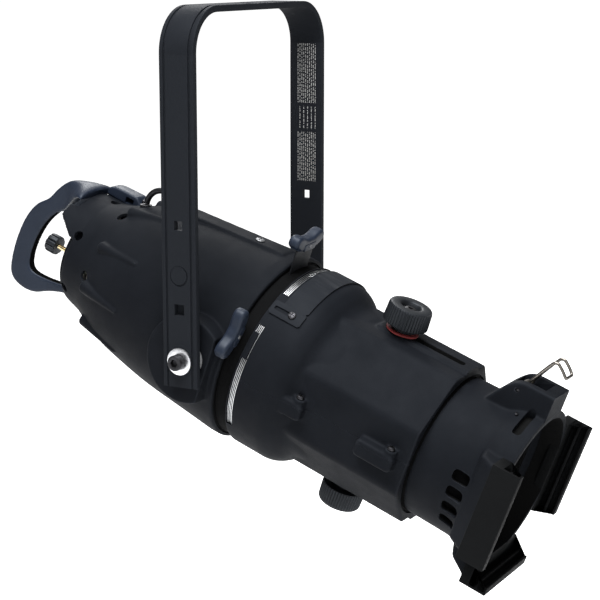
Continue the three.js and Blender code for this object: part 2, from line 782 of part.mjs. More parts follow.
function lensTube() {
  const [rear, front] = [125, 297];
  const lip = 62;
  const body = turned([
    [TUBE_BORE, rear], [TUBE_RADIUS, rear], [TUBE_RADIUS, front], [TUBE_BORE, front],
    [TUBE_BORE, 236], [lip, 236], [lip, 233], [TUBE_BORE, 233],
    [TUBE_BORE, 178], [lip, 178], [lip, 175], [TUBE_BORE, 175],
  ]);
  const studHole = rod([0, -90, KNOB_STATION], [0, 90, KNOB_STATION], 4.4);
  return cut(body, ...tubeVents(), studHole);
}

function lens(rear, thickness, bulge) {
  const radius = 68;
  const dome = (grow) => Array.from({ length: 5 }, (_, i) => {
    const share = i / 4;
    return [radius * share, grow * (1 - share * share)];
  });
  const front = dome(bulge).map(([r, z]) => [r, rear + thickness + z]).reverse();
  return turned([[0, rear], [radius, rear], ...front], 28);
}

function guideRing() {
  return ring(TUBE_RADIUS + 0.4, BARREL_BORE - 0.3, BARREL_FRONT - 8, BARREL_FRONT - 2);
}

function focusStud(side) {
  const at = (height) => [0, side * height, KNOB_STATION];
  const head = new THREE.CylinderGeometry(6.4, 6.4, 4, 6).translate(0, side * 107.5, KNOB_STATION);
  return joined(rod(at(65), at(106), 4), solid(head));
}

// Ribbed focus knob with a recess for the stud's head.
function focusKnob(side) {
  const [hub, base, top, radius] = [WASHER_TOP + GAP, 92, 112.5, 22.8];
  const recess = 105.2;
  const profile = [
    [4.4, hub], [13, hub], [14, base], [radius - 1.5, base], [radius, base + 1.5],
    [radius - 1, top - 2], [radius - 3, top], [11, top], [9.5, top - 1], [8.5, recess], [4.4, recess],
  ].map(([r, height]) => new THREE.Vector2(r, height));
  const geometry = new THREE.LatheGeometry([...profile, profile[0].clone()], 24);
  geometry.scale(1, side, 1).translate(0, 0, KNOB_STATION);
  let body = solid(geometry);
  const ribs = 12;
  for (let i = 0; i < ribs; i += 1) {
    const angle = (i * 2 * Math.PI) / ribs;
    const x = (radius + 0.9) * Math.sin(angle);
    const z = KNOB_STATION + (radius + 0.9) * Math.cos(angle);
    body = cut(body, rod([x, side * (base - 1), z], [x, side * (top + 1), z], 2.4, 6));
  }
  return body;
}

function focusWasher() {
  const body = rod([0, PAD_TOP + GAP, KNOB_STATION], [0, WASHER_TOP, KNOB_STATION], 17, 24);
  return cut(body, rod([0, 80, KNOB_STATION], [0, 90, KNOB_STATION], 4.4));
}

// One accessory channel, a wall with three lips, turned about the axis from the -x side.
function channel(angle) {
  const half = CHANNEL_LENGTH / 2;
  const boxes = [
    [[-HOLDER_HALF, -half, 314.5], [-HOLDER_HALF + 3.2, half, HOLDER_FRONT]],
    [[-HOLDER_HALF, -half, 314.5], [-HOLDER_HALF + 24, half, 325]],
    [[-HOLDER_HALF, -half, 331.5], [-HOLDER_HALF + 11, half, 334]],
    [[-HOLDER_HALF, -half, HOLDER_FRONT - 2.5], [-HOLDER_HALF + 9, half, HOLDER_FRONT]],
  ];
  return joined(...boxes.map(([low, high]) => solid(boxGeometry(low, high).rotateZ(degrees(angle)))));
}

const CLIP_PIVOT = [94, 289];

function clipBox() {
  const outline = polygon([[264, 66], [264, 73], [284, 101], [292, 103.5], [326, 103.5], [326, 66]]);
  return sideProfile(outline, -20, 20);
}

function accessoryHolder() {
  const opening = 75.3;
  const sleeveRear = 237.5;
  const boreRadius = TUBE_RADIUS + GAP;
  const shell = turned([
    [0, sleeveRear], [TUBE_RADIUS + 1.6, sleeveRear], [TUBE_RADIUS + 2.5, 290], [80, 300],
    [82, 316], [82, 325], [0, 325],
  ]);
  const body = joined(shell, channel(0), channel(90), channel(180), clipBox());
  const bore = turned([
    [0, sleeveRear - 5], [boreRadius, sleeveRear - 5], [boreRadius, 297.4], [opening, 303],
    [opening, 350], [0, 350],
  ]);
  const pocket = block([-12, 86, 282], [12, 110, 330]);
  const pinHole = rod([-25, ...CLIP_PIVOT], [25, ...CLIP_PIVOT], 2.3, 16);
  const slot = sector(70, 95, 306, 315, 106, 124, 8);
  return cut(body, bore, pocket, pinHole, slot, ...tubeVents());
}

// Spring wire clip that closes the open side of the accessory slots.
function retainingClip() {
  const [y, z] = CLIP_PIVOT;
  const wire = 1.35;
  const half = 7.5;
  const route = [
    [-half, y, z + 4], [-half, 113, 299], [-half, 129, 308.5], [-half, 131, 312], [-half, 123, 322],
    [half, 123, 322], [half, 131, 312], [half, 129, 308.5], [half, 113, 299], [half, y, z + 4],
  ].map(([px, py, pz]) => new THREE.Vector3(px, py, pz));
  const section = new THREE.Shape();
  section.absarc(0, 0, wire, 0, 2 * Math.PI);
  const path = new THREE.CatmullRomCurve3(route, false, "centripetal");
  const settings = { steps: 30, bevelEnabled: false, extrudePath: path, curveSegments: 2 };
  const legs = solid(new THREE.ExtrudeGeometry(section, settings));
  const sleeve = rod([-9.5, y, z], [9.5, y, z], 4.2, 20);
  return cut(joined(legs, sleeve), rod([-12, y, z], [12, y, z], 2.3, 16));
}

function clipPin() {
  return rod([-19, ...CLIP_PIVOT], [19, ...CLIP_PIVOT], 1.95, 16);
}

// ---------------------------------------------------------------- assembly

function yokeGroup() {
  const group = new THREE.Group();
  group.add(piece("yoke", yoke(), BLACK_PAINT));
  group.add(piece("near_pivot_bolt", pivotBolt(), BLACK_STEEL));
  group.add(piece("near_pivot_washer", pivotWasher(-1), ZINC));
  group.add(piece("far_pivot_washer", pivotWasher(1), ZINC));
  group.add(piece("near_pivot_spacer", pivotSpacer(-1), GREY_NYLON));
  group.add(piece("far_pivot_spacer", pivotSpacer(1), GREY_NYLON));
  group.add(piece("tilt_lock_knob", tiltLockKnob(), BLACK_PLASTIC));
  group.add(piece("tilt_lock_stud", tiltLockStud(), ZINC));
  return group;
}

function lampPieces() {
  return [
    piece("reflector_housing", reflectorHousing(), BLACK_PAINT),
    piece("reflector", reflector(), MIRROR),
    piece("reflector_ring", ring(80, 93, -32.3, -28.5), ALUMINIUM),
    piece("gate_retainer", ring(46, 96.6, 23, 28.6), BLACK_STEEL),
    piece("lamp_cap", lampCap(), BLACK_PAINT),
    piece("rear_handle", rearHandle(), GREY_GRIP),
    piece("cable_gland", cableGland(), GREY_GRIP),
    piece("safety_eye", safetyEye(), BLACK_STEEL),
    piece("lamp_knob", lampKnob(), BLACK_PLASTIC),
    piece("lamp_adjusting_screw", lampAdjustingScrew(), BRASS),
    piece("lamp_holder", lampHolder(), CERAMIC),
    piece("lamp_base", lampBase(), ALUMINIUM),
    piece("lamp_bulb", lampBulb(), GLASS),
  ];
}

function gatePieces() {
  const pieces = [piece("gate_body", gateBody(), BLACK_STEEL)];
  for (const number of [1, 2, 3, 4]) {
    pieces.push(piece(`gate_plate_${number}`, gatePlate(number), STAINLESS));
  }
  for (const shutter of SHUTTERS) {
    pieces.push(piece(`${shutter.name}_shutter_blade`, shutterBlade(shutter), STAINLESS));
    pieces.push(piece(`${shutter.name}_shutter_grip`, shutterGrip(shutter), GREY_GRIP));
  }
  return pieces;
}

function barrelPieces() {
  const pieces = [
    piece("barrel_top", barrelHalf(1), BLACK_PAINT),
    piece("barrel_bottom", barrelHalf(-1), BLACK_PAINT),
    piece("tube_guide_ring", guideRing(), GREY_NYLON),
    piece("pattern_cover", patternCover(), BLACK_PAINT),
    piece("near_cover_screw", coverScrew(-1), ZINC),
    piece("far_cover_screw", coverScrew(1), ZINC),
  ];
  const [rear, front] = BARREL_SCREW_STATIONS;
  pieces.push(piece("near_rear_barrel_screw", barrelScrew(rear, -1), ZINC));
  pieces.push(piece("near_front_barrel_screw", barrelScrew(front, -1), ZINC));
  pieces.push(piece("far_rear_barrel_screw", barrelScrew(rear, 1), ZINC));
  pieces.push(piece("far_front_barrel_screw", barrelScrew(front, 1), ZINC));
  return pieces;
}

function lensTubePieces() {
  return [
    piece("lens_tube", lensTube(), BLACK_PAINT),
    piece("rear_lens", lens(178.3, 4, 14), GLASS),
    piece("rear_lens_ring", ring(62, 68.1, 185.5, 188), BLACK_STEEL),
    piece("front_lens", lens(236.3, 4, 14), GLASS),
    piece("front_lens_ring", ring(62, 68.1, 243.5, 246), BLACK_STEEL),
    piece("accessory_holder", accessoryHolder(), BLACK_PAINT),
    piece("retaining_clip", retainingClip(), STAINLESS),
    piece("clip_pin", clipPin(), STAINLESS),
    piece("top_focus_knob", focusKnob(1), BLACK_PLASTIC),
    piece("top_focus_stud", focusStud(1), ZINC),
    piece("top_focus_washer", focusWasher(), RED_FIBRE),
    piece("bottom_focus_knob", focusKnob(-1), BLACK_PLASTIC),
    piece("bottom_focus_stud", focusStud(-1), ZINC),
  ];
}

function spotlight() {
  const whole = new THREE.Group();
  const optics = new THREE.Group();
  optics.position.set(0, 0, -YOKE_DROP);
  optics.rotation.x = Math.PI / 2 + degrees(TILT);
  optics.add(...lampPieces(), ...gatePieces(), ...barrelPieces(), ...lensTubePieces());
  whole.add(yokeGroup(), optics);
  return whole;
}

export default spotlight();
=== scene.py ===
"""Looks for the ellipsoidal spotlight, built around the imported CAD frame.

Everything on the light is drawn in the optics frame, in millimetres: x to the side,
y up from the optical axis, z forward along the beam, 0 at the tilt pivot.
"""

import json
import math

import bmesh
import bpy
from mathutils import Matrix, Vector


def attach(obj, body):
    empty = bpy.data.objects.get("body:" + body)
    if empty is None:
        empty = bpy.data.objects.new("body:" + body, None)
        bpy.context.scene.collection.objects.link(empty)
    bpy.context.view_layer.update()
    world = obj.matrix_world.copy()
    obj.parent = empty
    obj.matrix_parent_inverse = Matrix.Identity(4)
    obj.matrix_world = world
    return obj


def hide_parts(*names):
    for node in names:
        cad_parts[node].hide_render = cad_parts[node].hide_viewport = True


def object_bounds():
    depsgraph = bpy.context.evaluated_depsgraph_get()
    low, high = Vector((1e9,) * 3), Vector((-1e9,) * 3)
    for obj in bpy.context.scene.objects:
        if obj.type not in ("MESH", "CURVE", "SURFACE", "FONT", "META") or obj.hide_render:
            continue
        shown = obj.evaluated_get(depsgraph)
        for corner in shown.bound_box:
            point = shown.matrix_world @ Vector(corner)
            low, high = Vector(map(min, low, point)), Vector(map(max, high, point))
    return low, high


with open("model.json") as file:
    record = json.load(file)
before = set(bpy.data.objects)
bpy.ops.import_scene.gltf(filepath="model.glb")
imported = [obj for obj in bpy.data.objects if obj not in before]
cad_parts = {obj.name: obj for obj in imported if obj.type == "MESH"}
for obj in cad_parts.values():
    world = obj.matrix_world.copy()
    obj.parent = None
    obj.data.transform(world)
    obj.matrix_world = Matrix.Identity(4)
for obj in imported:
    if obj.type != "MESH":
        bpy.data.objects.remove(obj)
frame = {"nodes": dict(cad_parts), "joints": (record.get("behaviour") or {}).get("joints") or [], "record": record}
cad_box = [list(corner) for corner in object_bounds()]

MM = 0.001
JOINTS = {joint["name"]: joint for joint in frame["joints"]}
PIVOT = Vector(JOINTS["barrel_rotation"]["pos_m"])
FORWARD = Vector(JOINTS["barrel_rotation"]["axis"]).normalized()
SIDE = Vector((1, 0, 0))
UP = FORWARD.cross(SIDE).normalized()
PIVOT_DROP = PIVOT.z / MM


def axes(side, up, forward, origin=(0, 0, 0)):
    """Matrix whose columns are three directions and an origin."""
    columns = [Vector(side), Vector(up), Vector(forward), Vector(origin)]
    return Matrix([[c[i] for c in columns] for i in range(3)] + [[0, 0, 0, 1]])


OPTICS = axes(SIDE, UP, FORWARD, PIVOT) @ Matrix.Scale(MM, 4)
HUNG = Matrix.Scale(MM, 4)


def radial(angle, station=0.0):
    """Frame about the axis: y outwards at an angle counted from the top towards +x."""
    a = math.radians(angle)
    outwards = (math.sin(a), math.cos(a), 0)
    across = (math.cos(a), -math.sin(a), 0)
    return axes(across, outwards, (0, 0, 1), (0, 0, station))


def along(direction, origin):
    """Frame whose z axis points along a direction."""
    z = Vector(direction).normalized()
    helper = Vector((0, 0, 1)) if abs(z.z) < 0.9 else Vector((1, 0, 0))
    x = helper.cross(z).normalized()
    return axes(x, z.cross(x), z, origin)


def side_view(x0, x1):
    """Frame for an outline drawn as (z, y) and thickened along x between two planes."""
    return axes((0, 0, 1), (0, 1, 0), (-1, 0, 0), ((x0 + x1) / 2, 0, 0))


def plan_view(side=1, height=0.0, station=0.0):
    """Frame for an outline drawn as (x, z) and thickened along y, on top or underneath."""
    return axes((1, 0, 0), (0, 0, 1), (0, -side, 0), (0, side * height, station))


def turned_by(angle):
    """Turn about the optical axis, in degrees."""
    return Matrix.Rotation(math.radians(angle), 4, "Z")


# ---- outlines

ALMOST_HALF = 0.49
TINY = 0.02


def rounded(points, radius=2.0, steps=4):
    """Closed outline with its corners rounded; a point may carry its own radius."""
    out = []
    count = len(points)
    for i, point in enumerate(points):
        here = Vector(point[:2])
        before = Vector(points[i - 1][:2])
        after = Vector(points[(i + 1) % count][:2])
        size = point[2] if len(point) > 2 else radius
        cut_in = min(size, (before - here).length * ALMOST_HALF)
        cut_out = min(size, (after - here).length * ALMOST_HALF)
        if min(cut_in, cut_out) < TINY:
            out.append(here)
            continue
        start = here + (before - here).normalized() * cut_in
        end = here + (after - here).normalized() * cut_out
        for k in range(steps + 1):
            t = k / steps
            out.append(start * (1 - t) ** 2 + here * 2 * t * (1 - t) + end * t * t)
    return [tuple(p) for p in out]


def smooth_path(points, per_span=6, closed=False):
    """Catmull-Rom curve through points of any dimension."""
    count = len(points)
    spans = count if closed else count - 1
    vectors = [Vector(p) for p in points]

    def at(i):
        return vectors[i % count] if closed else vectors[max(0, min(count - 1, i))]

    out = []
    for i in range(spans):
        p0, p1, p2, p3 = at(i - 1), at(i), at(i + 1), at(i + 2)
        for k in range(per_span):
            t = k / per_span
            out.append(0.5 * (
                2 * p1 + (p2 - p0) * t + (2 * p0 - 5 * p1 + 4 * p2 - p3) * t ** 2
                + (3 * p1 - p0 - 3 * p2 + p3) * t ** 3))
    if not closed:
        out.append(vectors[-1])
    return [tuple(p) for p in out]


def rectangle(x0, y0, x1, y1):
    """Corners of an upright rectangle."""
    return [(x0, y0), (x1, y0), (x1, y1), (x0, y1)]


def circle(radius, count):
    """Regular outline with a number of corners."""
    steps = [2 * math.pi * k / count for k in range(count)]
    return [(radius * math.cos(a), radius * math.sin(a)) for a in steps]


def around(radius, angle, z):
    """Point at an angle counted from the top towards +x."""
    a = math.radians(angle)
    return (radius * math.sin(a), radius * math.cos(a), z)


# ---- solids

def new_object(name, vertices, faces):
    mesh = bpy.data.meshes.new(name)
    mesh.from_pydata([tuple(v) for v in vertices], [], faces)
    body = bmesh.new()
    body.from_mesh(mesh)
    bmesh.ops.remove_doubles(body, verts=body.verts, dist=1e-4)
    bmesh.ops.recalc_face_normals(body, faces=body.faces)
    body.to_mesh(mesh)
    body.free()
    obj = bpy.data.objects.new(name, mesh)
    bpy.context.scene.collection.objects.link(obj)
    return obj


def stitched(rings, closed_rings=False):
    """Faces between rings of equal length, with flat ends unless the rings close up."""
    count = len(rings[0])
    spans = len(rings) if closed_rings else len(rings) - 1
    vertices = [v for ring in rings for v in ring]
    faces = []
    for i in range(spans):
        a, b = i * count, ((i + 1) % len(rings)) * count
        faces += [(a + k, a + n, b + n, b + k) for k, n in enumerate([*range(1, count), 0])]
    if not closed_rings:
        faces.append(tuple(reversed(range(count))))
        faces.append(tuple(range((len(rings) - 1) * count, len(rings) * count)))
    return vertices, faces


def turned(profile, segments=96, lobes=0, lobe_shape=None):
    """Turned solid about z from a closed profile of (radius, z[, lobe depth])."""
    rings = []
    for k in range(segments):
        angle = 2 * math.pi * k / segments
        swell = lobe_shape(lobes * angle) if lobes else 0
        reaches = [(radius + sum(depth) * swell, z) for radius, z, *depth in profile]
        rings.append([(r * math.cos(angle), r * math.sin(angle), z) for r, z in reaches])
    return new_object("turned", *stitched(rings, closed_rings=True))


def disc(radius, z0, z1, segments=64):
    return turned(rectangle(0, z0, radius, z1), segments)


def ring(inner, outer, z0, z1, soft=0.4, segments=128):
    return turned(rounded(rectangle(inner, z0, outer, z1), soft, 2), segments)


def prism(outline, z0, z1):
    rings = [[(x, y, z) for x, y in outline] for z in (z0, z1)]
    return new_object("prism", *stitched(rings))


BOX_FACES = ((0, 1, 2, 3), (4, 5, 6, 7), (0, 1, 5, 4), (1, 2, 6, 5), (2, 3, 7, 6), (3, 0, 4, 7))


def box(low, high):
    return prism(rectangle(*low[:2], *high[:2]), low[2], high[2])


def pillow(outline, half, soft, steps=5):
    """Slab of an outline with its rim rounded over on both sides."""
    points = [Vector(p) for p in outline]
    following = points[1:] + points[:1]
    preceding = points[-1:] + points[:-1]
    area = sum(a.x * b.y - b.x * a.y for a, b in zip(points, following, strict=True))
    turn = 1 if area > 0 else -1
    normals = []
    for before, here, after in zip(preceding, points, following, strict=True):
        tangent = (here - before).normalized() + (after - here).normalized()
        normals.append(Vector((tangent.y, -tangent.x)).normalized() * turn)
    rings = []
    for side, order in ((-1, range(steps + 1)), (1, range(steps, -1, -1))):
        for k in order:
            phi = math.pi / 2 * k / steps
            inset = soft * (1 - math.sin(phi))
            height = side * (half - soft + soft * math.cos(phi))
            rings.append([
                (p.x - n.x * inset, p.y - n.y * inset, height)
                for p, n in zip(points, normals, strict=True)])
    return new_object("pillow", *stitched(rings))


def swept(section, path, normals=None):
    """Outline of (across, outwards) carried along an open path."""
    points = [Vector(p) for p in path]
    last = len(points) - 1
    rings = []
    guide = None
    for i, point in enumerate(points):
        tangent = (points[min(i + 1, last)] - points[max(i - 1, 0)]).normalized()
        if normals:
            outwards = Vector(normals[i])
        else:
            guide = guide or tangent.orthogonal()
            outwards = guide = (guide - tangent * guide.dot(tangent)).normalized()
        across = outwards.cross(tangent)
        rings.append([point + across * a + outwards * b for a, b in section])
    return new_object("swept", *stitched(rings))


def tube(path, radius, count):
    return swept(circle(radius, count), path)


def rod(start, end, radius, count=32):
    """Round rod between two points."""
    reach = Vector(end) - Vector(start)
    return moved(disc(radius, 0, reach.length, count), along(reach, start))


def moved(obj, matrix):
    obj.data.transform(matrix)
    return obj


def baked(obj):
    """Applies an object's modifiers to its mesh."""
    graph = bpy.context.evaluated_depsgraph_get()
    mesh = bpy.data.meshes.new_from_object(obj.evaluated_get(graph))
    obj.modifiers.clear()
    old = obj.data
    obj.data = mesh
    bpy.data.meshes.remove(old)
    return obj


def modify(body, kind, **settings):
    modifier = body.modifiers.new(kind.lower(), kind)
    for name, value in settings.items():
        setattr(modifier, name, value)


def combined(body, operation, *tools):
    for tool in tools:
        modify(body, "BOOLEAN", operation=operation, solver="MANIFOLD", object=tool)
    baked(body)
    for tool in tools:
        mesh = tool.data
        bpy.data.objects.remove(tool)
        bpy.data.meshes.remove(mesh)
    return body


def joined(body, *tools):
    return combined(body, "UNION", *tools)


def cut(body, *tools):
    return combined(body, "DIFFERENCE", *tools)


def cast(body, voxel, rounds):
    """Blends a rough solid into one soft casting."""
    modify(body, "REMESH", mode="VOXEL", voxel_size=voxel)
    modify(body, "SMOOTH", factor=0.5, iterations=rounds)
    return baked(body)


def eased(body, width):
    """Small rounding on every sharp edge."""
    modify(
        body, "BEVEL", width=width, segments=2, limit_method="ANGLE",
        angle_limit=math.radians(38), use_clamp_overlap=True, miter_outer="MITER_ARC")
    return baked(body)


def shown(obj, name, body, slot, nodes=(), material=None, place=OPTICS, smooth=34):
    """Names a finished piece, puts it in the row frame and ties it to its body."""
    obj.name = name
    obj.data.name = name
    moved(obj, place)
    obj.data.materials.clear()
    obj.data.materials.append(material or SLOT_MATERIALS[slot])
    obj.data.shade_smooth()
    obj.data.set_sharp_from_angle(angle=math.radians(smooth))
    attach(obj, body)
    if nodes:
        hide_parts(*nodes)
    return obj


# ---- materials

class Nodes:
    """Short way to write a material's node tree."""

    def __init__(self, name):
        self.material = bpy.data.materials.new(name)
        self.material.use_nodes = True
        self.tree = self.material.node_tree
        self.shader = self.tree.nodes["Principled BSDF"]
        coordinates = self.tree.nodes.new("ShaderNodeTexCoord")
        self.place = coordinates.outputs["Object"]

    def feed(self, socket, value):
        """Links a socket to a node's output, or sets its constant."""
        if isinstance(value, bpy.types.NodeSocket):
            self.tree.links.new(value, socket)
        elif socket.type == "RGBA":
            socket.default_value = (*value, 1)
        else:
            socket.default_value = value

    def node(self, kind, output, inputs, **settings):
        """Adds a node, fills its inputs and hands back one of its outputs."""
        node = self.tree.nodes.new(f"ShaderNode{kind}")
        for name, value in settings.items():
            setattr(node, name, value)
        for name, value in inputs.items():
            self.feed(node.inputs[name], value)
        return node.outputs[output]

    def noise(self, scale, detail=3.0, roughness=0.55, stretch=None):
        place = self.place
        if stretch:
            place = self.node("Mapping", "Vector", {"Vector": place, "Scale": stretch})
        return self.node("TexNoise", "Fac", {
            "Scale": scale, "Detail": detail, "Roughness": roughness, "Vector": place})

    def cells(self, scale):
        return self.node("TexVoronoi", "Distance", {"Scale": scale, "Vector": self.place})

    def between(self, value, low, high, new_low=0.0, new_high=1.0):
        return self.node("MapRange", "Result", {
            "From Min": low, "From Max": high, "To Min": new_low, "To Max": new_high,
            "Value": value})

    def mixed(self, factor, first, second):
        inputs = {"Factor": factor, "A": first, "B": second}
        return self.node("Mix", "Result", inputs, data_type="RGBA")

    def sum(self, first, second, weight):
        inputs = {0: second, 1: weight, 2: first}
        return self.node("Math", "Value", inputs, operation="MULTIPLY_ADD")

    def edges(self, low=0.52, high=0.58):
        return self.between(self.node("NewGeometry", "Pointiness", {}), low, high)

    def set(self, name, value):
        self.feed(self.shader.inputs[name], value)

    def bump(self, height, distance):
        inputs = {"Distance": distance, "Strength": 1.0, "Height": height}
        self.set("Normal", self.node("Bump", "Normal", inputs))


COOL = (0.84, 0.91, 1.0)


def coated(name, dark, light, worn, rough=(0.62, 0.7), grain=1500, depth=0.0001, gloss=0.042):
    """Textured powder coat: fine grain, soft cloudy tone and slightly rubbed edges."""
    n = Nodes(name)
    cloud = n.noise(22, 4)
    fine = n.noise(grain, 2)
    tone = n.mixed(n.between(cloud, 0.35, 0.68), dark, light)
    speckled = n.mixed(n.between(fine, 0.62, 0.78, 0, 0.35), tone, worn)
    n.set("Base Color", n.mixed(n.edges(), speckled, worn))
    n.set("Roughness", n.between(n.noise(60, 3), 0.3, 0.7, *rough))
    n.set("Specular IOR Level", gloss)
    n.set("Specular Tint", COOL)
    n.bump(n.sum(fine, n.cells(grain * 0.6), 0.5), depth)
    return n.material


def moulded(name, dark, light, worn, rough=(0.44, 0.54), grain=2600, depth=0.00004, gloss=0.2):
    """Moulded plastic with a faint spark texture and handling marks."""
    n = Nodes(name)
    tone = n.mixed(n.between(n.noise(35, 4), 0.35, 0.7), dark, light)
    scuffs = n.between(n.noise(90, 6, 0.7, (1, 1, 4)), 0.62, 0.8, 0, 0.5)
    n.set("Base Color", n.mixed(n.edges(0.53, 0.62), n.mixed(scuffs, tone, worn), worn))
    n.set("Roughness", n.between(n.noise(120, 4), 0.3, 0.7, *rough))
    n.set("Specular IOR Level", gloss)
    n.set("Specular Tint", COOL)
    n.bump(n.noise(grain, 2), depth)
    return n.material


def metal(name, dark, light, rough=(0.2, 0.4), brush=(1, 1, 30), scale=90, depth=0.00002):
    """Bare or plated metal with drawn marks and uneven gloss."""
    n = Nodes(name)
    drawn = n.noise(scale, 5, 0.65, brush)
    cloud = n.noise(28, 3)
    n.set("Base Color", n.mixed(n.between(n.sum(cloud, drawn, 0.6), 0.55, 1.0), dark, light))
    n.set("Roughness", n.between(drawn, 0.3, 0.7, *rough))
    n.set("Metallic", 1.0)
    n.bump(drawn, depth)
    return n.material


def clear(name, tint):
    """Glass with a faint film of dust."""
    n = Nodes(name)
    dust = n.noise(40, 5, 0.7)
    n.set("Base Color", n.mixed(n.between(dust, 0.5, 0.9, 0, 0.25), tint, (0.6, 0.62, 0.62)))
    n.set("Roughness", n.between(dust, 0.4, 0.8, 0.02, 0.12))
    n.set("IOR", 1.48)
    n.set("Transmission Weight", 1.0)
    n.bump(n.noise(14, 2), 0.00005)
    return n.material


BODY = coated(
    "body_coat", (0.0039, 0.0045, 0.0059), (0.0052, 0.0059, 0.0076), (0.012, 0.0135, 0.0165))
YOKE = coated(
    "yoke_coat", (0.0056, 0.0064, 0.0082), (0.007, 0.0079, 0.0099), (0.0078, 0.0088, 0.0109),
    gloss=0.055)
RAIL = coated(
    "rail_coat", (0.0014, 0.0015, 0.0016), (0.002, 0.0021, 0.0022), (0.0052, 0.0054, 0.0056),
    gloss=0.036)
# Near-black coat: the own black of the gate, lens tube and baffle, and also painted shade on the dark sheets and
# rings set in gaps, grooves and slots that lie in shadow.
INNER_BLACK_AND_SHADE = coated(
    "inner_black_and_painted_shade", (0.0018, 0.0018, 0.002), (0.0028, 0.0028, 0.003), (0.004, 0.004, 0.004),
    (0.8, 0.9), gloss=0.03)
INK = coated(
    "pale_ink", (0.09, 0.09, 0.088), (0.2, 0.2, 0.195), (0.24, 0.24, 0.235), (0.6, 0.7), gloss=0.1)
DARK_STEEL = metal("dark_steel", (0.022, 0.022, 0.024), (0.05, 0.05, 0.055), (0.35, 0.5))
ZINC = metal("zinc_plate", (0.55, 0.56, 0.58), (0.85, 0.86, 0.88), (0.22, 0.4))
SCREW = metal("dull_zinc", (0.11, 0.112, 0.118), (0.24, 0.245, 0.255), (0.48, 0.6))
PLATE = metal(
    "plate_edge", (0.6, 0.62, 0.64), (0.86, 0.88, 0.9), (0.3, 0.42), (1, 1, 1), 20, 0.000002)
STAINLESS = metal("stainless", (0.55, 0.57, 0.58), (0.8, 0.82, 0.83), (0.16, 0.32))
GRIP = moulded(
    "grip_plastic", (0.0064, 0.0093, 0.0165), (0.0082, 0.0117, 0.0202), (0.018, 0.024, 0.037))
PLASTIC = moulded(
    "black_plastic", (0.0036, 0.0042, 0.0052), (0.0052, 0.006, 0.0074), (0.016, 0.018, 0.021))
NYLON = moulded("bearing_nylon", (0.1, 0.102, 0.106), (0.15, 0.153, 0.157), (0.24, 0.24, 0.24))
FIBRE = moulded(
    "red_fibre", (0.12, 0.014, 0.015), (0.17, 0.024, 0.024), (0.26, 0.06, 0.055), (0.5, 0.7))
BLADE = coated(
    "blued_blade", (0.002, 0.0022, 0.0026), (0.0034, 0.0037, 0.0043), (0.009, 0.0095, 0.011),
    (0.45, 0.6), gloss=0.08)
BRASS = metal("turned_brass", (0.5, 0.4, 0.22), (0.74, 0.63, 0.42), (0.2, 0.38))
WIRE = metal("spring_wire", (0.09, 0.083, 0.074), (0.22, 0.205, 0.185), (0.25, 0.4))
MIRROR = metal("mirror_coat", (0.8, 0.82, 0.84), (0.93, 0.94, 0.95), (0.03, 0.08))
ALUMINIUM = metal("bare_aluminium", (0.6, 0.61, 0.62), (0.78, 0.79, 0.8), (0.25, 0.42))
LENS = clear("lens_glass", (0.9, 0.95, 0.94))
QUARTZ = clear("lamp_glass", (0.95, 0.96, 0.96))
CERAMIC = coated(
    "steatite", (0.62, 0.6, 0.54), (0.74, 0.72, 0.66), (0.8, 0.78, 0.72), (0.55, 0.75), 900)
SLOT_MATERIALS = {
    "body_paint": BODY, "yoke_paint": YOKE, "dark_steel": DARK_STEEL, "zinc_steel": ZINC,
    "gate_metal": INNER_BLACK_AND_SHADE,
    "stainless": STAINLESS, "moulded_grip": GRIP, "black_plastic": PLASTIC, "nylon": NYLON,
    "red_fibre": FIBRE, "brass": BRASS, "mirror_coat": MIRROR, "bare_aluminium": ALUMINIUM,
    "lens_glass": LENS, "lamp_glass": QUARTZ, "ceramic": CERAMIC,
}


def dress_cad_nodes():
    """Every CAD node gets the procedural material of its slot."""
    slots = {part["node"]: part["material_slot"] for part in frame["record"]["subparts"]}
    for name, node in frame["nodes"].items():
        for place in node.material_slots:
            place.material = BLADE if name.endswith("_blade") else SLOT_MATERIALS[slots[name]]


# ---- yoke and pivots

YOKE_WIDTH = 253.0
YOKE_TAIL = 26.0
BAR_WIDTH = 38.1
BAR_THICKNESS = 6.35
YOKE_BEND = 44.0
GROOVE_INSET = 5.3
GROOVE_DEPTH = 1.8
CLAMP_HOLE = 6.8
PIVOT_HOLE = 5.3
RECESS_RISE, KNOCKOUT_RISE, SQUARE_RISE = 50, 83, 131.5
RECESS_SIZE, RECESS_DEPTH, SQUARE_SIZE = 11, 5.6, 9
GAP = 0.3
ARM_OUTER = YOKE_WIDTH / 2
WASHER_FACE = ARM_OUTER + GAP + 2.2
SHANK_END = 101
SIDES = {"near": -1, "far": 1}


def bar_section():
    """Section of the flat bar with two drawn grooves in its outer face."""
    half = BAR_WIDTH / 2
    outline = [(-half, -BAR_THICKNESS), (-half, 0)]
    for centre in (-half + GROOVE_INSET, half - GROOVE_INSET):
        outline += [
            (centre - 1.3, 0, 0.3), (centre - 1, -GROOVE_DEPTH, 0.3),
            (centre + 1, -GROOVE_DEPTH, 0.3), (centre + 1.3, 0, 0.3)]
    outline += [(half, 0), (half, -BAR_THICKNESS)]
    return rounded(outline, 0.9, 3)


def yoke_path():
    """Outer face of the bent bar, with its outward normals, from foot to foot."""
    half = ARM_OUTER
    foot = PIVOT_DROP - YOKE_TAIL
    below_bend = -YOKE_BEND - 1.5
    points = [(-half, 0, foot), (-half, 0, below_bend)]
    normals = [(-1, 0, 0)] * 2
    steps = 16
    for side, start in ((-1, math.pi), (1, math.pi / 2)):
        centre = Vector((side * (half - YOKE_BEND), 0, -YOKE_BEND))
        for k in range(steps + 1):
            angle = start - math.pi / 2 * k / steps
            normal = Vector((math.cos(angle), 0, math.sin(angle)))
            points.append(tuple(centre + normal * YOKE_BEND))
            normals.append(tuple(normal))
    points += [(half, 0, below_bend), (half, 0, foot)]
    normals += [(1, 0, 0)] * 2
    return points, normals


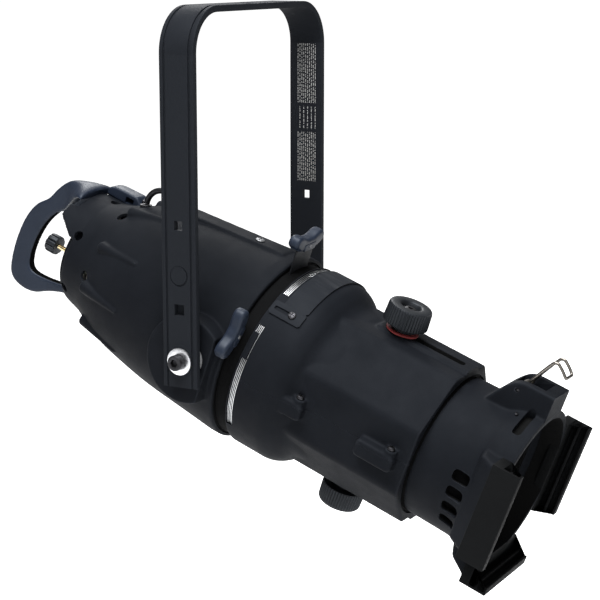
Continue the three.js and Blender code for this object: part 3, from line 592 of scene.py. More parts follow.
def build_yoke():
    points, normals = yoke_path()
    bar = swept(bar_section(), points, normals)
    reach = ARM_OUTER + 5
    tools = [rod((0, 0, -20), (0, 0, 5), CLAMP_HOLE)]
    tools.append(rod((-reach, 0, PIVOT_DROP), (reach, 0, PIVOT_DROP), PIVOT_HOLE))
    square = PIVOT_DROP + SQUARE_RISE
    half = SQUARE_SIZE / 2
    tools.append(box((-reach, -half, square - half), (reach, half, square + half)))
    for side in (-1, 1):
        inner, outer = sorted((side * (ARM_OUTER - RECESS_DEPTH), side * reach))
        recess = PIVOT_DROP + RECESS_RISE
        half = RECESS_SIZE / 2
        tools.append(box((inner, -half, recess - half), (outer, half, recess + half)))
        shallow = side * (ARM_OUTER - 1)
        rim, z = side * (ARM_OUTER - 0.2), PIVOT_DROP + KNOCKOUT_RISE
        tools.append(cut(
            rod((shallow, 0, z), (side * reach, 0, z), 10, 48),
            rod((shallow * 0.9, 0.5, z + 0.5), (rim, 0.5, z + 0.5), 9.1, 48)))
    bar = eased(cut(bar, *tools), 0.35)
    shown(bar, "yoke_bar", "yoke", "yoke_paint", ["yoke"], place=HUNG)


PRINT_BLOCKS = ((-190.0, -138.0, 1), (-134.0, -111.0, 2), (-107.0, -45.0, 1))
PRINT_COLUMNS, PRINT_PITCH, PRINT_HALF_LINE, PRINT_PROUD = 10, 2.3, 0.42, 0.08


def dash_column(column, low, high):
    """Corners of one column of uneven dashes, a box at a time."""
    face = ARM_OUTER - BAR_THICKNESS
    y = PRINT_PITCH * (column - PRINT_COLUMNS / 2)
    station, count = low, column
    while station < high:
        share = (0.618 * count + 0.414 * column * column) % 1
        end = min(station + 0.7 + 3.1 * share, high)
        yield [
            (x, y + side * PRINT_HALF_LINE, z) for x in (face - PRINT_PROUD, face + 0.02)
            for side, z in ((-1, station), (1, station), (1, end), (-1, end))]
        station = end + 0.5 + 1.3 * ((0.382 * count + 0.27 * column) % 1)
        count += 1


def build_printed_strip():
    """Plain pale dashes where small print would be; they spell nothing."""
    vertices, faces = [], []
    for low, high, step in PRINT_BLOCKS:
        for column in range(0, PRINT_COLUMNS, step):
            for corners in dash_column(column, low, high):
                faces += [tuple(len(vertices) + i for i in face) for face in BOX_FACES]
                vertices += corners
    strip = new_object("strip", vertices, faces)
    shown(strip, "printed_strip", "yoke", "yoke_paint", material=INK, place=HUNG)


def pivot_frame(side, station):
    """z points outwards along the tilt axis from a distance off the middle."""
    return along((side, 0, 0), (side * station, 0, PIVOT_DROP))


def build_pivot_hardware():
    for name, side in SIDES.items():
        washer = moved(ring(PIVOT_HOLE, 13.3, 0, 2.2, 0.6, 96), pivot_frame(side, ARM_OUTER + GAP))
        shown(washer, f"{name}_washer", "yoke", "zinc_steel", [f"{name}_pivot_washer"], place=HUNG)
        profile = [
            (PIVOT_HOLE, 0), (17, 0), (17, 3), (15.5, 3.3), (15.5, 6.5), (PIVOT_HOLE, 6.5)]
        spacer = turned(rounded(profile, 0.5))
        moved(spacer, pivot_frame(side, ARM_OUTER - BAR_THICKNESS - 6.8))
        shown(spacer, f"{name}_spacer", "yoke", "nylon", [f"{name}_pivot_spacer"], place=HUNG)
    head = WASHER_FACE + GAP
    bolt = turned(rounded(
        [(0, SHANK_END - head, 0), (4.9, SHANK_END - head, 0.8), (4.9, 0, 0.1), (7.6, 0, 0.4),
         (7.6, 8, 0.9), (0, 8, 0)], 0.5), 64)
    bolt = cut(bolt, prism(circle(4.2, 6), 3.6, 9))
    bolt = moved(eased(bolt, 0.25), pivot_frame(-1, head))
    shown(bolt, "pivot_bolt", "yoke", "dark_steel", ["near_pivot_bolt"], place=HUNG)


def build_tilt_lock():
    knob = turned(
        [(0, 0), (11, 0), (11, 5.5), (15, 7, 2), (18.2, 9, 3.6), (19, 11, 3.8), (19, 17, 3.8),
         (18, 20, 3.6), (15.5, 21.7, 3), (12, 22, 1.5), (8, 21.2), (7, 20.6), (0, 20.4)],
        120, 5, math.cos)
    knob = cut(knob, rod((0, 0, -1), (0, 0, 16.5), 5.2))
    knob = moved(knob, pivot_frame(1, WASHER_FACE + GAP))
    shown(knob, "tilt_knob", "tilt_lock", "black_plastic", ["tilt_lock_knob"], place=HUNG)
    length = WASHER_FACE + 16 - SHANK_END
    stud = turned(rounded([(0, 0), (4.9, 0, 0.6), (4.9, length, 0.6), (0, length)], 0), 48)
    moved(stud, pivot_frame(1, SHANK_END))
    shown(stud, "tilt_stud", "tilt_lock", "zinc_steel", ["tilt_lock_stud"], place=HUNG)


# ---- reflector housing

HOUSING = [
    (54, -204.5), (58.5, -200.5), (60.5, -195), (65, -178), (74, -158), (82, -136), (88.5, -104),
    (94, -68), (98, -20), (101, 16)]
HOUSING_FRONT = 29.0
HOUSING_WALL = 3.5
BOSS_FACE = 113.0
RIDGES = ((20, 7.8), (60, 6.2), (95, 7.8), (131, 7.8))
VENT_HOLES = (26, 89, 137)
HOLE_STATION = -164
NECK_REAR = HOUSING[0][1]
CAP_REAR = NECK_REAR - 3.6
CAP_RADIUS = 54.0
PEAK_REAR = -219.0
PEAK_RADIUS = 60.3
HANDLE_HALF = 5.6
LAMP_SCREW_DROP = -16


def housing_radius(station):
    for (r0, z0), (r1, z1) in zip(HOUSING, HOUSING[1:], strict=False):
        if station <= z1:
            return r0 + (r1 - r0) * (station - z0) / (z1 - z0)
    return HOUSING[-1][0]


def ridge(angle, radius):
    """Tapered ridge that rises from the skin towards the rear."""
    rear, front = -161, -104
    hood = turned(smooth_lobe(radius, 2, 0, front - rear), 32)
    start = Vector(around(housing_radius(rear) - 0.3, angle, rear))
    end = Vector(around(housing_radius(front) + 0.6, angle, front))
    return moved(hood, along(end - start, start))


def housing_ridges():
    return [ridge(side * angle, radius) for angle, radius in RIDGES for side in (-1, 1)]


def vent_hole_tools():
    """Round holes beside the ridges and a ring of six round the neck."""
    tools = []
    skin = housing_radius(HOLE_STATION)
    for angle in [side * a for a in VENT_HOLES for side in (-1, 1)]:
        outside = around(skin + 12, angle, HOLE_STATION - 4)
        tools.append(rod(outside, around(skin - 12, angle, HOLE_STATION + 3), 6.4))
    for angle in range(0, 360, 60):
        tools.append(rod(around(40, angle, -196), around(75, angle, -196), 5.4, 40))
    return tools


def smooth_lobe(big, small, z0, z1, steps=8):
    """Profile of a tapered peg with round ends."""
    points = [(0, z0)]
    for k in range(1, steps + 1):
        a = math.pi / 2 * k / steps
        points.append((big * math.sin(a), z0 + 3 * (1 - math.cos(a))))
    for k in range(steps):
        a = math.pi / 2 * k / steps
        points.append((small * math.cos(a), z1 - small + small * math.sin(a)))
    points.append((0, z1))
    return points


def boss(side):
    """Round pivot boss with a soft rim, flat towards the gate."""
    disk = turned(rounded([(0, 0), (44, 0), (44, 43, 3), (0, 43)], 0, 5), 96)
    moved(disk, along((side, 0, 0), (side * 70, -4, -4)))
    return cut(disk, box((-150, -80, 22), (150, 80, 80)))


def top_rib():
    outline = rounded([(-114, 70), (-111, 93), (-5, 101.3), (16, 102.2), (16, 80)], 5)
    return moved(pillow(outline, 13, 2.2, 3), side_view(-13, 13))


def neck_peak():
    """Top of the neck, which runs on over the lamp cap and slopes back at its sides."""
    inner, front, beside_saddle = CAP_RADIUS + 2.4, -197, 33
    pieces = [sector(inner, PEAK_RADIUS, PEAK_REAR, front, 40, 140)]
    for k in range(9):
        reach, rear = 49 + 2 * k, -228 + 2.6 * k
        for start, end in ((90 - reach, 90 - beside_saddle), (90 + beside_saddle, 90 + reach)):
            pieces.append(sector(inner, PEAK_RADIUS, rear, front, start, end))
    return joined(*pieces)


def build_housing():
    skin = smooth_path([(r, z) for r, z in HOUSING], 4)
    outer = turned([(0, NECK_REAR), *skin, (101, HOUSING_FRONT - 1.2), (99.8, HOUSING_FRONT),
                    (0, HOUSING_FRONT)], 144)
    shell = joined(outer, boss(-1), boss(1), top_rib(), neck_peak(), *housing_ridges())
    shell = cast(shell, 1.25, 3)
    inner = [(r - HOUSING_WALL, z) for r, z in skin]
    rear, front = NECK_REAR - 10, HOUSING_FRONT + 10
    bore = turned([(0, rear), (inner[0][0], rear), *inner, (inner[-1][0], front), (0, front)], 96)
    tools = [bore, rod((-150, 0, 0), (150, 0, 0), PIVOT_HOLE), *vent_hole_tools()]
    for side in (-1, 1):
        tools.append(box((side * BOSS_FACE - 2, -8, 13), (side * BOSS_FACE + 2, -3, 18)))
    shell = cut(shell, *tools)
    shown(shell, "housing_shell", "head", "body_paint", ["reflector_housing"])
    place_screw("rib_screw", "head", (-3, 100.6, -20), (0, 1, -0.078), 4.8, 1.3, material=SCREW)


def cross_head(radius, height):
    """Pan head with a cross recess, standing on z = 0."""
    head = turned(
        [(0, 0), (radius, 0), (radius, height * 0.3), (radius * 0.86, height * 0.75),
         (radius * 0.5, height), (0, height)], 40)
    arm, wide, deep = radius * 0.62, radius * 0.13, height * 0.35
    return cut(
        head, box((-arm, -wide, deep), (arm, wide, height + 1)),
        box((-wide, -arm, deep), (wide, arm, height + 1)))


def place_screw(name, body, point, direction, radius, height, material=None, nodes=(),
                shank=0.0, slot="zinc_steel"):
    """Pan head on a surface, with a shank into it where the hole shows."""
    screw = cross_head(radius, height)
    if shank:
        screw = joined(screw, disc(radius * 0.45, -shank, 0.2, 24))
    moved(screw, along(direction, point))
    return shown(screw, name, body, slot, nodes, material=material)


def lamp_screw_hole(rear, front, radius):
    return rod((0, LAMP_SCREW_DROP, rear), (0, LAMP_SCREW_DROP, front), radius)


def build_lamp_cap():
    outer = CAP_REAR
    profile = rounded([
        (0, outer), (20, outer), (22, outer + 0.9), (44, outer + 0.9), (46, outer), (51, outer),
        (54, outer + 1.6), (54, NECK_REAR - GAP), (50, NECK_REAR - GAP), (50, NECK_REAR + 8),
        (47, NECK_REAR + 8), (47, NECK_REAR), (0, NECK_REAR)], 0.5, 3)
    cap = cut(turned(profile, 128), lamp_screw_hole(outer - 5, NECK_REAR + 5, 3.1))
    shown(cap, "cap_plate", "head", "body_paint", ["lamp_cap"])
    for number, angle in enumerate((100, 220, 340), 1):
        place_screw(
            f"cap_screw_{number}", "head", around(49, angle, outer + 0.6), (0, 0, -1), 2.6, 1.3,
            slot="dark_steel")


HANDLE_OUTER = [
    (-222, 67), (-240, 65.5), (-256, 59), (-267, 46), (-276, 30), (-289, 17), (-298, -3),
    (-302, -30), (-301, -58), (-295, -73), (-280, -79), (-262, -77.5), (-243, -67.5), (-222, -60)]
HANDLE_INNER = [
    (-235, -53), (-258, -56), (-273, -54), (-278, -42), (-277, -20), (-270, 4), (-257, 24),
    (-246, 31), (-232, 36)]


def spaced(path, count):
    """Open path as a number of points at equal distances along it."""
    points = [Vector(p) for p in path]
    reach = [0.0]
    for a, b in zip(points, points[1:], strict=False):
        reach.append(reach[-1] + (b - a).length)
    out = []
    span = 0
    for k in range(count):
        wanted = reach[-1] * k / (count - 1)
        while span < len(points) - 2 and reach[span + 1] < wanted:
            span += 1
        share = (wanted - reach[span]) / max(reach[span + 1] - reach[span], 1e-9)
        out.append(points[span].lerp(points[span + 1], min(share, 1.0)))
    return out


def band(outer, inner, half, soft, steps=5):
    """Loop with a soft rectangular section between two paths drawn as (z, y)."""
    rings = []
    for a, b in zip(outer, inner, strict=True):
        along_section = (a - b).normalized()
        width = (a - b).length
        section = rounded(rectangle(0, -half, width, half), soft, steps)
        rings.append([
            (side, b.y + along_section.y * depth, b.x + along_section.x * depth)
            for depth, side in section])
    return new_object("band", *stitched(rings))


def flared_saddle(outer):
    """Wide arched front of the handle, which folds down into the band as it runs to the rear."""
    rings = []
    steps = 24
    front, rear = PEAK_REAR - GAP, -259
    for k in range(steps + 1):
        t = k / steps
        station = front + (rear - front) * t
        top = min(outer, key=lambda point: abs(point.x - station) + (500 if point.y < 40 else 0)).y
        spread = 0.5 + 0.5 * math.cos(math.pi * t)
        half = HANDLE_HALF + (31 - HANDLE_HALF) * spread
        drop = 9 + 27 * (1 - spread)
        arch = [math.pi * (j / 24 - 0.5) for j in range(25)]
        square = 0.45 + 0.55 * spread
        arc = [
            (half * math.copysign(abs(math.sin(a)) ** square, a),
             top - drop * (1 - math.cos(a) ** square)) for a in arch]
        rings.append([(x, y, station) for x, y in arc])
    return new_object("saddle", *stitched(rings))


def partial_band(outer, inner, near, far, half, skip):
    """Band over part of the depth between two paths, short of both ends."""
    pairs = list(zip(outer, inner, strict=True))[skip:-skip]
    return band(
        [b.lerp(a, far) for a, b in pairs], [b.lerp(a, near) for a, b in pairs], half, 0.4, 2)


def build_handle():
    """Hollow moulding, open towards the inside of its loop, on a flared saddle."""
    face = CAP_REAR - GAP
    stations = 80
    outer = spaced(smooth_path([(-212, 56), *HANDLE_OUTER, (face, -62)], 6), stations)
    inner = spaced(smooth_path([(face, 42), *reversed(HANDLE_INNER), (face, -48)], 6), stations)
    handle = cast(joined(band(outer, inner, HANDLE_HALF, 3), flared_saddle(outer)), 1.1, 8)
    clear_of = sector(CAP_RADIUS + 1.5, 90, PEAK_REAR - GAP, -180, 15, 165)
    under_cap = disc(90, face, -180)
    hollow = partial_band(outer, inner, -0.1, 0.4, HANDLE_HALF - 1.4, 8)
    handle = cut(handle, clear_of, under_cap, hollow)
    shown(handle, "carry_handle", "head", "moulded_grip", ["rear_handle"])
    # Dark sheet in the handle's groove: painted shade for the hollow lying in shadow.
    shade_sheet = cut(
        partial_band(outer, inner, 0.02, 0.43, HANDLE_HALF - 1.5, 9),
        partial_band(outer, inner, -0.1, 0.36, HANDLE_HALF - 2.1, 10))
    shown(shade_sheet, "handle_groove_shade", "head", "moulded_grip", material=INNER_BLACK_AND_SHADE)


def build_lamp_knob():
    def flute(angle):
        return -max(0.0, math.cos(angle)) ** 3

    rear, front = -262, -249
    profile = [
        (0, rear), (8.2, rear), (10, rear + 0.8, 1.2), (10.5, rear + 2.2, 1.7),
        (10.5, front - 1.4, 1.7), (9.9, front - 0.3, 1.4), (9, front), (2.9, front),
        (2.9, front - 8), (0, front - 8)]
    on_screw = Matrix.Translation((0, LAMP_SCREW_DROP, 0))
    knob = moved(turned(profile, 120, 10, flute), on_screw)
    shown(knob, "lamp_adjuster_knob", "lamp_adjuster", "black_plastic", ["lamp_knob"])
    thread = [(0, front - 7)]
    z = front - 7
    while z < -199:
        thread += [(2.6, z), (2.25, z + 0.45)]
        z += 0.9
    thread += [(2.4, -193), (0, -192)]
    screw = moved(turned(thread, 24), on_screw)
    shown(screw, "brass_screw", "lamp_adjuster", "brass", ["lamp_adjusting_screw"])


def build_gland():
    outline = rounded([
        (-220.4, 58), (-219, 67), (-212, 70), (-205, 70.5), (-182, 71), (-174, 63), (-174, 57),
        (-200, 57)], 2.5)
    body = moved(pillow(outline, 9, 2.4, 4), side_view(15, 33))
    body = cut(body, box((10, 60, -195), (27, 66.5, -184.5)))
    shown(body, "lead_entry", "head", "moulded_grip", ["cable_gland"])
    nut = moved(
        cut(eased(prism(circle(5.2, 6), 0, 4), 0.4), disc(2.6, -1, 5, 24)),
        along((0, -0.12, 1), (25, 66.5, -178.5)))
    shown(nut, "lead_entry_nut", "head", "dark_steel")


def build_safety_eye():
    centre_y, centre_z, bend = 79, -141, 19
    turns = [math.radians(a) for a in range(-6, 187, 6)]
    path = [(0, centre_y + bend * math.sin(a), centre_z - bend * math.cos(a)) for a in turns]
    eye = tube(path, 3.2, 16)
    shown(eye, "safety_loop", "head", "dark_steel", ["safety_eye"])
    for number, side in enumerate((-1, 1), 1):
        z = centre_z + side * bend
        foot = turned(rounded(rectangle(3.25, -1, 6.2, 1.6), 0.6), 40)
        moved(foot, along((0, 1, -0.3 if z < centre_z else -0.2), (0, housing_radius(z) + 0.6, z)))
        shown(foot, f"safety_loop_collar_{number}", "head", "dark_steel")


# ---- gate and shutters

# angle round the axis, blade's station, how far it is drawn out
SHUTTERS = {
    "near": (-68, 31, 0), "top": (-5, 32.7, 17), "bottom": (152, 34.4, 0), "far": (68, 36.1, 0)}
GRIP_BASE = 101.6
GRIP_MIDDLE = 31.4
GATE_REAR, GATE_FRONT, GATE_RADIUS, APERTURE = 29.6, 43.4, 95, 39


def build_gate():
    face = GATE_FRONT - 3.6
    body = turned(rounded([
        (APERTURE, face), (GATE_RADIUS - 5, face), (GATE_RADIUS - 5, GATE_REAR),
        (GATE_RADIUS, GATE_REAR), (GATE_RADIUS, GATE_FRONT), (APERTURE, GATE_FRONT)], 0.4, 2), 144)
    slots = [
        moved(box((-17.6, GATE_RADIUS - 15, -0.85), (17.6, GATE_RADIUS + 15, 0.85)), radial(a, z))
        for a, z, _ in SHUTTERS.values()]
    shown(cut(body, *slots), "gate_ring", "barrel", "gate_metal", ["gate_body"])
    for number in (1, 2, 3, 4):
        start = 45.9 + (number - 1) * 1.7
        plate = ring(APERTURE + 2, 96.8, start, start + 0.5, 0.15, 160)
        shown(
            plate, f"aperture_plate_{number}", "barrel", "stainless", [f"gate_plate_{number}"],
            material=PLATE)
        # Dark ring filling the gap between two plates: painted shade where the gaps lie in shadow.
        gap_shade = ring(88, 96.75, start + 0.52, start + 1.68, 0.05, 160)
        shown(gap_shade, f"plate_gap_shade_{number}", "barrel", "gate_metal")


def grip_outline(base):
    """Grip seen along the beam: two soft horns with a saddle between them."""
    right = [
        (0, 12.2), (6, 12.6), (15, 16.4), (22, 16.2), (25.6, 12), (25.4, 7), (20, 2.6), (13, 0.3),
        (0, 0)]
    curve = smooth_path([*right, *[(-x, y) for x, y in right[-2:0:-1]]], 5, closed=True)
    return [(x, base + y) for x, y in curve]


def build_shutters():
    for name, (angle, station, drawn) in SHUTTERS.items():
        base = GRIP_BASE + drawn
        place = radial(angle)
        grip = pillow(grip_outline(base), 6.3, 3.6, 6)
        moved(grip, Matrix.Translation((0, 0, GRIP_MIDDLE)))
        slot = box((-9.3, base - 2, station - 0.75), (9.3, base + 11.4, station + 0.75))
        pad = pillow(rounded(rectangle(-11, base - 0.2, 11, base + 8), 3), 6.9, 1.2)
        moved(pad, Matrix.Translation((0, 0, GRIP_MIDDLE)))
        grip = moved(cut(joined(grip, pad), slot), place)
        shown(grip, f"{name}_grip", f"{name}_shutter", "moulded_grip", [f"{name}_shutter_grip"])
        for face, side in (("front", 1), ("rear", -1)):
            point = place @ Vector((0, base + 4.2, GRIP_MIDDLE + side * 6.85))
            place_screw(
                f"{name}_grip_{face}_screw", f"{name}_shutter", point, (0, 0, side), 2.1, 0.8,
                material=SCREW)


# ---- barrel

BARREL_RADIUS = 98.4
BARREL_FRONT = 236
BORE = 76
PAD_TOP = 84
KNOB_STATION = 155
SCREW_STATIONS = (113.5, 217)
COVER_ANGLE = 43.5
COVER_INNER = BARREL_RADIUS + 0.4


def octagon(flats, corner):
    """Octagon with a flat on top, its corners softened."""
    reach = flats / math.cos(math.pi / 8)
    points = [
        (reach * math.cos(math.pi / 8 * (2 * k + 1)), reach * math.sin(math.pi / 8 * (2 * k + 1)))
        for k in range(8)]
    return rounded(points, corner, 6)


def sector(inner, outer, z0, z1, start, end, steps=24):
    """Part of a ring between two angles counted from +x towards +y."""
    angles = [math.radians(start + (end - start) * k / steps) for k in range(steps + 1)]
    outline = [(outer * math.cos(a), outer * math.sin(a)) for a in angles]
    outline += [(inner * math.cos(a), inner * math.sin(a)) for a in reversed(angles)]
    return prism(outline, z0, z1)


def seam_lug(side, station):
    """Screw boss on the seam with a fairing that runs into the barrel."""
    x = side * 84
    post = turned(smooth_post(6.6, -13, 8.4), 40)
    moved(post, along((0, 1, 0), (x, 0, station)))
    outline = [
        (station - 34, -13), (station + 8, -13), (station + 8, 3), (station - 8, 5),
        (station - 34, 5)]
    fairing = pillow(rounded(outline, 5), 7, 3.5, 4)
    return joined(post, moved(fairing, side_view(x - 8, x + 5)))


def smooth_post(radius, low, high):
    return rounded([(0, low), (radius, low, 2.5), (radius, high, 1.2), (0, high)], 0)


def barrel_body():
    """Outside of the whole barrel as one soft casting."""
    shoulder = smooth_path(
        [(98.4, 82), (96.6, 90), (92, 98), (86.5, 104), (83, 111), (81.6, 124)], 5)
    rear = turned([(0, 43.8), (97.6, 43.8), (98.4, 44.6), *shoulder, (80, 132), (0, 132)], 144)
    front = prism(octagon(80.4, 5), 104, BARREL_FRONT)
    front = combined(front, "INTERSECT", disc(86, 100, BARREL_FRONT + 5, 144))
    pads = []
    for side in (-1, 1):
        pad = pillow(rounded(rectangle(-13, 132, 13, 241), 6), 12, 2.5, 3)
        pads.append(moved(pad, plan_view(side, PAD_TOP - 12)))
    lugs = [seam_lug(side, z) for z in SCREW_STATIONS for side in (-1, 1)]
    body = joined(rear, front, *pads, *lugs)
    body = cast(body, 1.35, 4)
    return cut(body, box((-150, -150, BARREL_FRONT), (150, 150, 300)), disc(150, 30, 43.8))


def barrel_bore():
    return turned([
        (0, 30), (88, 30), (88, 45.6), (97.1, 45.6), (97.1, 52.8), (88, 52.8), (88, 55),
        (94.5, 55), (94.5, 82), (88, 95.5), (79, 106), (77.2, 122), (BORE, 124),
        (BORE, BARREL_FRONT + 5), (0, BARREL_FRONT + 5)], 144)


def plate_windows():
    spans = [(57, 123), (146, 151), (167.5, 215), (29, 34), (-35, 12.5)]
    thin = [(151, 167), (13, 29)]
    tools = [sector(90, 105, 45.6, 52.8, a, b) for a, b in spans]
    return tools + [sector(90, 105, 50.8, 52.8, a, b) for a, b in thin]


def slot_shape(side, inset, low, high):
    """Long round-ended slot in the flat pad, between two heights above the axis."""
    wide, rear, front = 5.2 - inset, 149 + inset, 227 - inset
    outline = rounded(rectangle(-wide, rear, wide, front), wide - 0.1, 6)
    return moved(prism(outline, -high, -low), plan_view(side))


def focus_slot(side):
    return slot_shape(side, 0, 50, 130)


def slot_painted_shade(side):
    """Dark sheet on the walls of the focus slot, painted shade, clear of the stud that slides in it."""
    return cut(slot_shape(side, 0.05, 76.5, PAD_TOP - 0.5), slot_shape(side, 0.6, 70, 130))


def build_barrel():
    body = barrel_body()
    tools = [barrel_bore(), focus_slot(1), focus_slot(-1), *plate_windows()]
    for z in SCREW_STATIONS:
        for side in (-1, 1):
            tools.append(rod((side * 86, -20, z), (side * 86, 12, z), 2.3))
            tools.append(rod((side * 86, 9, z), (side * 86, 26, z), 5, 40))
    for angle in (COVER_ANGLE, -COVER_ANGLE):
        tools.append(rod(around(88, angle, 69.8), around(105, angle, 69.8), 1.7))
    body = cut(body, *tools)
    other = body.copy()
    other.data = body.data.copy()
    bpy.context.scene.collection.objects.link(other)
    top = cut(body, box((-150, -150, 0), (150, 0.18, 300)), box((-48, 60, 58), (48, 110, 66)))
    bottom = cut(other, box((-150, -0.18, 0), (150, 150, 300)))
    shown(top, "barrel_upper_half", "barrel", "body_paint", ["barrel_top"])
    shown(bottom, "barrel_lower_half", "barrel", "body_paint", ["barrel_bottom"])
    # Painted shade: dark sheets on the walls of both focus slots.
    for side, name in ((1, "top"), (-1, "bottom")):
        shown(slot_painted_shade(side), f"{name}_slot_painted_shade", "barrel", "body_paint", material=INNER_BLACK_AND_SHADE)
    # The guide ring is drawn near-black instead of its nylon: painted shade in the gap at the barrel mouth.
    guide = ring(71.9, 75.7, BARREL_FRONT - 8, BARREL_FRONT - 2, 0.5)
    shown(guide, "mouth_guide_ring_painted_shade", "barrel", "nylon", ["tube_guide_ring"], material=INNER_BLACK_AND_SHADE)


def build_barrel_screws():
    for station, place in zip(SCREW_STATIONS, ("rear", "front"), strict=True):
        for name, side in SIDES.items():
            place_screw(
                f"{name}_{place}_seam_screw", "barrel", (side * 86, 9.3, station), (0, 1, 0), 3.9,
                2.5, material=DARK_STEEL, nodes=[f"{name}_{place}_barrel_screw"], shank=21)


def build_pattern_cover():
    outer = COVER_INNER + 1.2
    band = sector(COVER_INNER, outer, 55.5, 82.5, 50, 130, 64)
    tools = []
    for side in (-1, 1):
        angle = 90 + side * COVER_ANGLE
        band = joined(band, sector(COVER_INNER, outer, 46, 82.5, angle - 4.5, angle + 4.5, 12))
        outline = rounded(rectangle(-2.2, 49.5, 2.2, 72.1), 2.15, 5)
        slot = moved(prism(outline, -10, 10), plan_view(1, COVER_INNER))
        tools.append(moved(slot, radial(side * COVER_ANGLE)))
        for step in (-4.5, 4.5):
            corner = radial(side * COVER_ANGLE + step)
            for station in (46, 82.5):
                nick = moved(box((-1.3, -1.3, -9), (1.3, 1.3, 9)), turned_by(45))
                tools.append(moved(moved(nick, plan_view(1, COVER_INNER, station)), corner))
    band = eased(cut(band, *tools), 0.3)
    shown(band, "slot_cover", "pattern_cover", "yoke_paint", ["pattern_cover"])
    for name, side in SIDES.items():
        angle = side * COVER_ANGLE
        direction = Vector(around(1, angle, 0))
        place_screw(
            f"{name}_slot_cover_screw", "barrel", around(outer + 0.3, angle, 69.8), direction, 4,
            2.1, material=DARK_STEEL, nodes=[f"{name}_cover_screw"], shank=8)


# ---- lens tube

TUBE_RADIUS = 71.5
TUBE_BORE = 68.5
VENT_ANGLES = (9.5, -4, -17.5, -31)


def tube_vents():
    """Round-ended cooling slots in both sides."""
    tools = []
    for angle in VENT_ANGLES:
        for turn in (angle, 180 - angle):
            outline = rounded(rectangle(-8.5, -6.1, 10.5, 6.1), 5, 5)
            slot = prism(outline, -11, 11)
            place = axes((0, 0, 1), (0, 1, 0), (-1, 0, 0), (-TUBE_RADIUS, 0, 285))
            tools.append(moved(moved(slot, place), turned_by(-turn)))
    return tools


def build_lens_tube():
    profile = rounded([
        (TUBE_BORE, 125), (TUBE_RADIUS, 125), (TUBE_RADIUS, 297), (TUBE_BORE, 297),
        (TUBE_BORE, 236), (62, 236), (62, 233), (TUBE_BORE, 233),
        (TUBE_BORE, 178), (62, 178), (62, 175), (TUBE_BORE, 175)], 0.5, 2)
    body = turned(profile, 144)
    body = cut(body, *tube_vents(), rod((0, -90, KNOB_STATION), (0, 90, KNOB_STATION), 4.4))
    shown(body, "sliding_tube", "focus_tube", "body_paint", ["lens_tube"], material=INNER_BLACK_AND_SHADE)
    baffle = turned([
        (66, 263), (TUBE_BORE, 263), (TUBE_BORE, 266), (67, 266), (67, 295.7), (TUBE_BORE, 295.7),
        (TUBE_BORE, 296.6), (66, 296.6)], 128)
    shown(baffle, "light_baffle", "focus_tube", "body_paint", material=INNER_BLACK_AND_SHADE)
    for name, rear in (("rear", 178.3), ("front", 236.3)):
        dome = [(68 * k / 24, rear + 4 + 14 * (1 - (k / 24) ** 2)) for k in range(25)]
        lens = turned([(0, rear), (67.4, rear), (68, rear + 0.6), *reversed(dome)], 128)
        shown(lens, f"{name}_glass", "focus_tube", "lens_glass", [f"{name}_lens"])
        band = ring(62, 68.1, rear + 7.2, rear + 9.7, 0.5)
        shown(
            band, f"{name}_glass_ring", "focus_tube", "dark_steel", [f"{name}_lens_ring"],
            material=DARK_STEEL)


CHANNEL_REAR, HOLDER_FRONT, HOLDER_HALF = 314.5, 343, 94.75
SLEEVE_FRONT = 325
RAILS = {"near": 0, "bottom": 90, "far": 180}
CLIP_PIVOT = (94, 289)


def channel(angle):
    """Accessory channel: a wall with a floor and two lips, seen along its length."""
    half = 50
    wall, floor, lip, edge = 3.2, 24, 11, 9
    outer = -HOLDER_HALF
    outline = [
        (outer, CHANNEL_REAR, 1), (outer + floor, CHANNEL_REAR, 2), (outer + floor, 325, 0.5),
        (outer + wall, 325, 0.8), (outer + wall, 331.5, 0.8), (outer + lip, 331.5, 0.6),
        (outer + lip, 334, 0.6), (outer + wall, 334, 0.8), (outer + wall, HOLDER_FRONT - 2.5, 0.8),
        (outer + edge, HOLDER_FRONT - 2.5, 0.6), (outer + edge, HOLDER_FRONT, 0.8),
        (outer, HOLDER_FRONT, 1.2)]
    body = pillow(rounded(outline, 0.5, 3), half, 0.5, 2)
    return moved(body, turned_by(angle) @ plan_view())


def clip_housing():
    outline = rounded([
        (262, 64), (262, 71, 6), (274, 90, 14), (285, 101.5, 10), (295, 103.5, 8),
        (326, 103.5, 1.5), (326, 64)], 1)
    return moved(pillow(outline, 20, 1.6, 4), side_view(-20, 20))


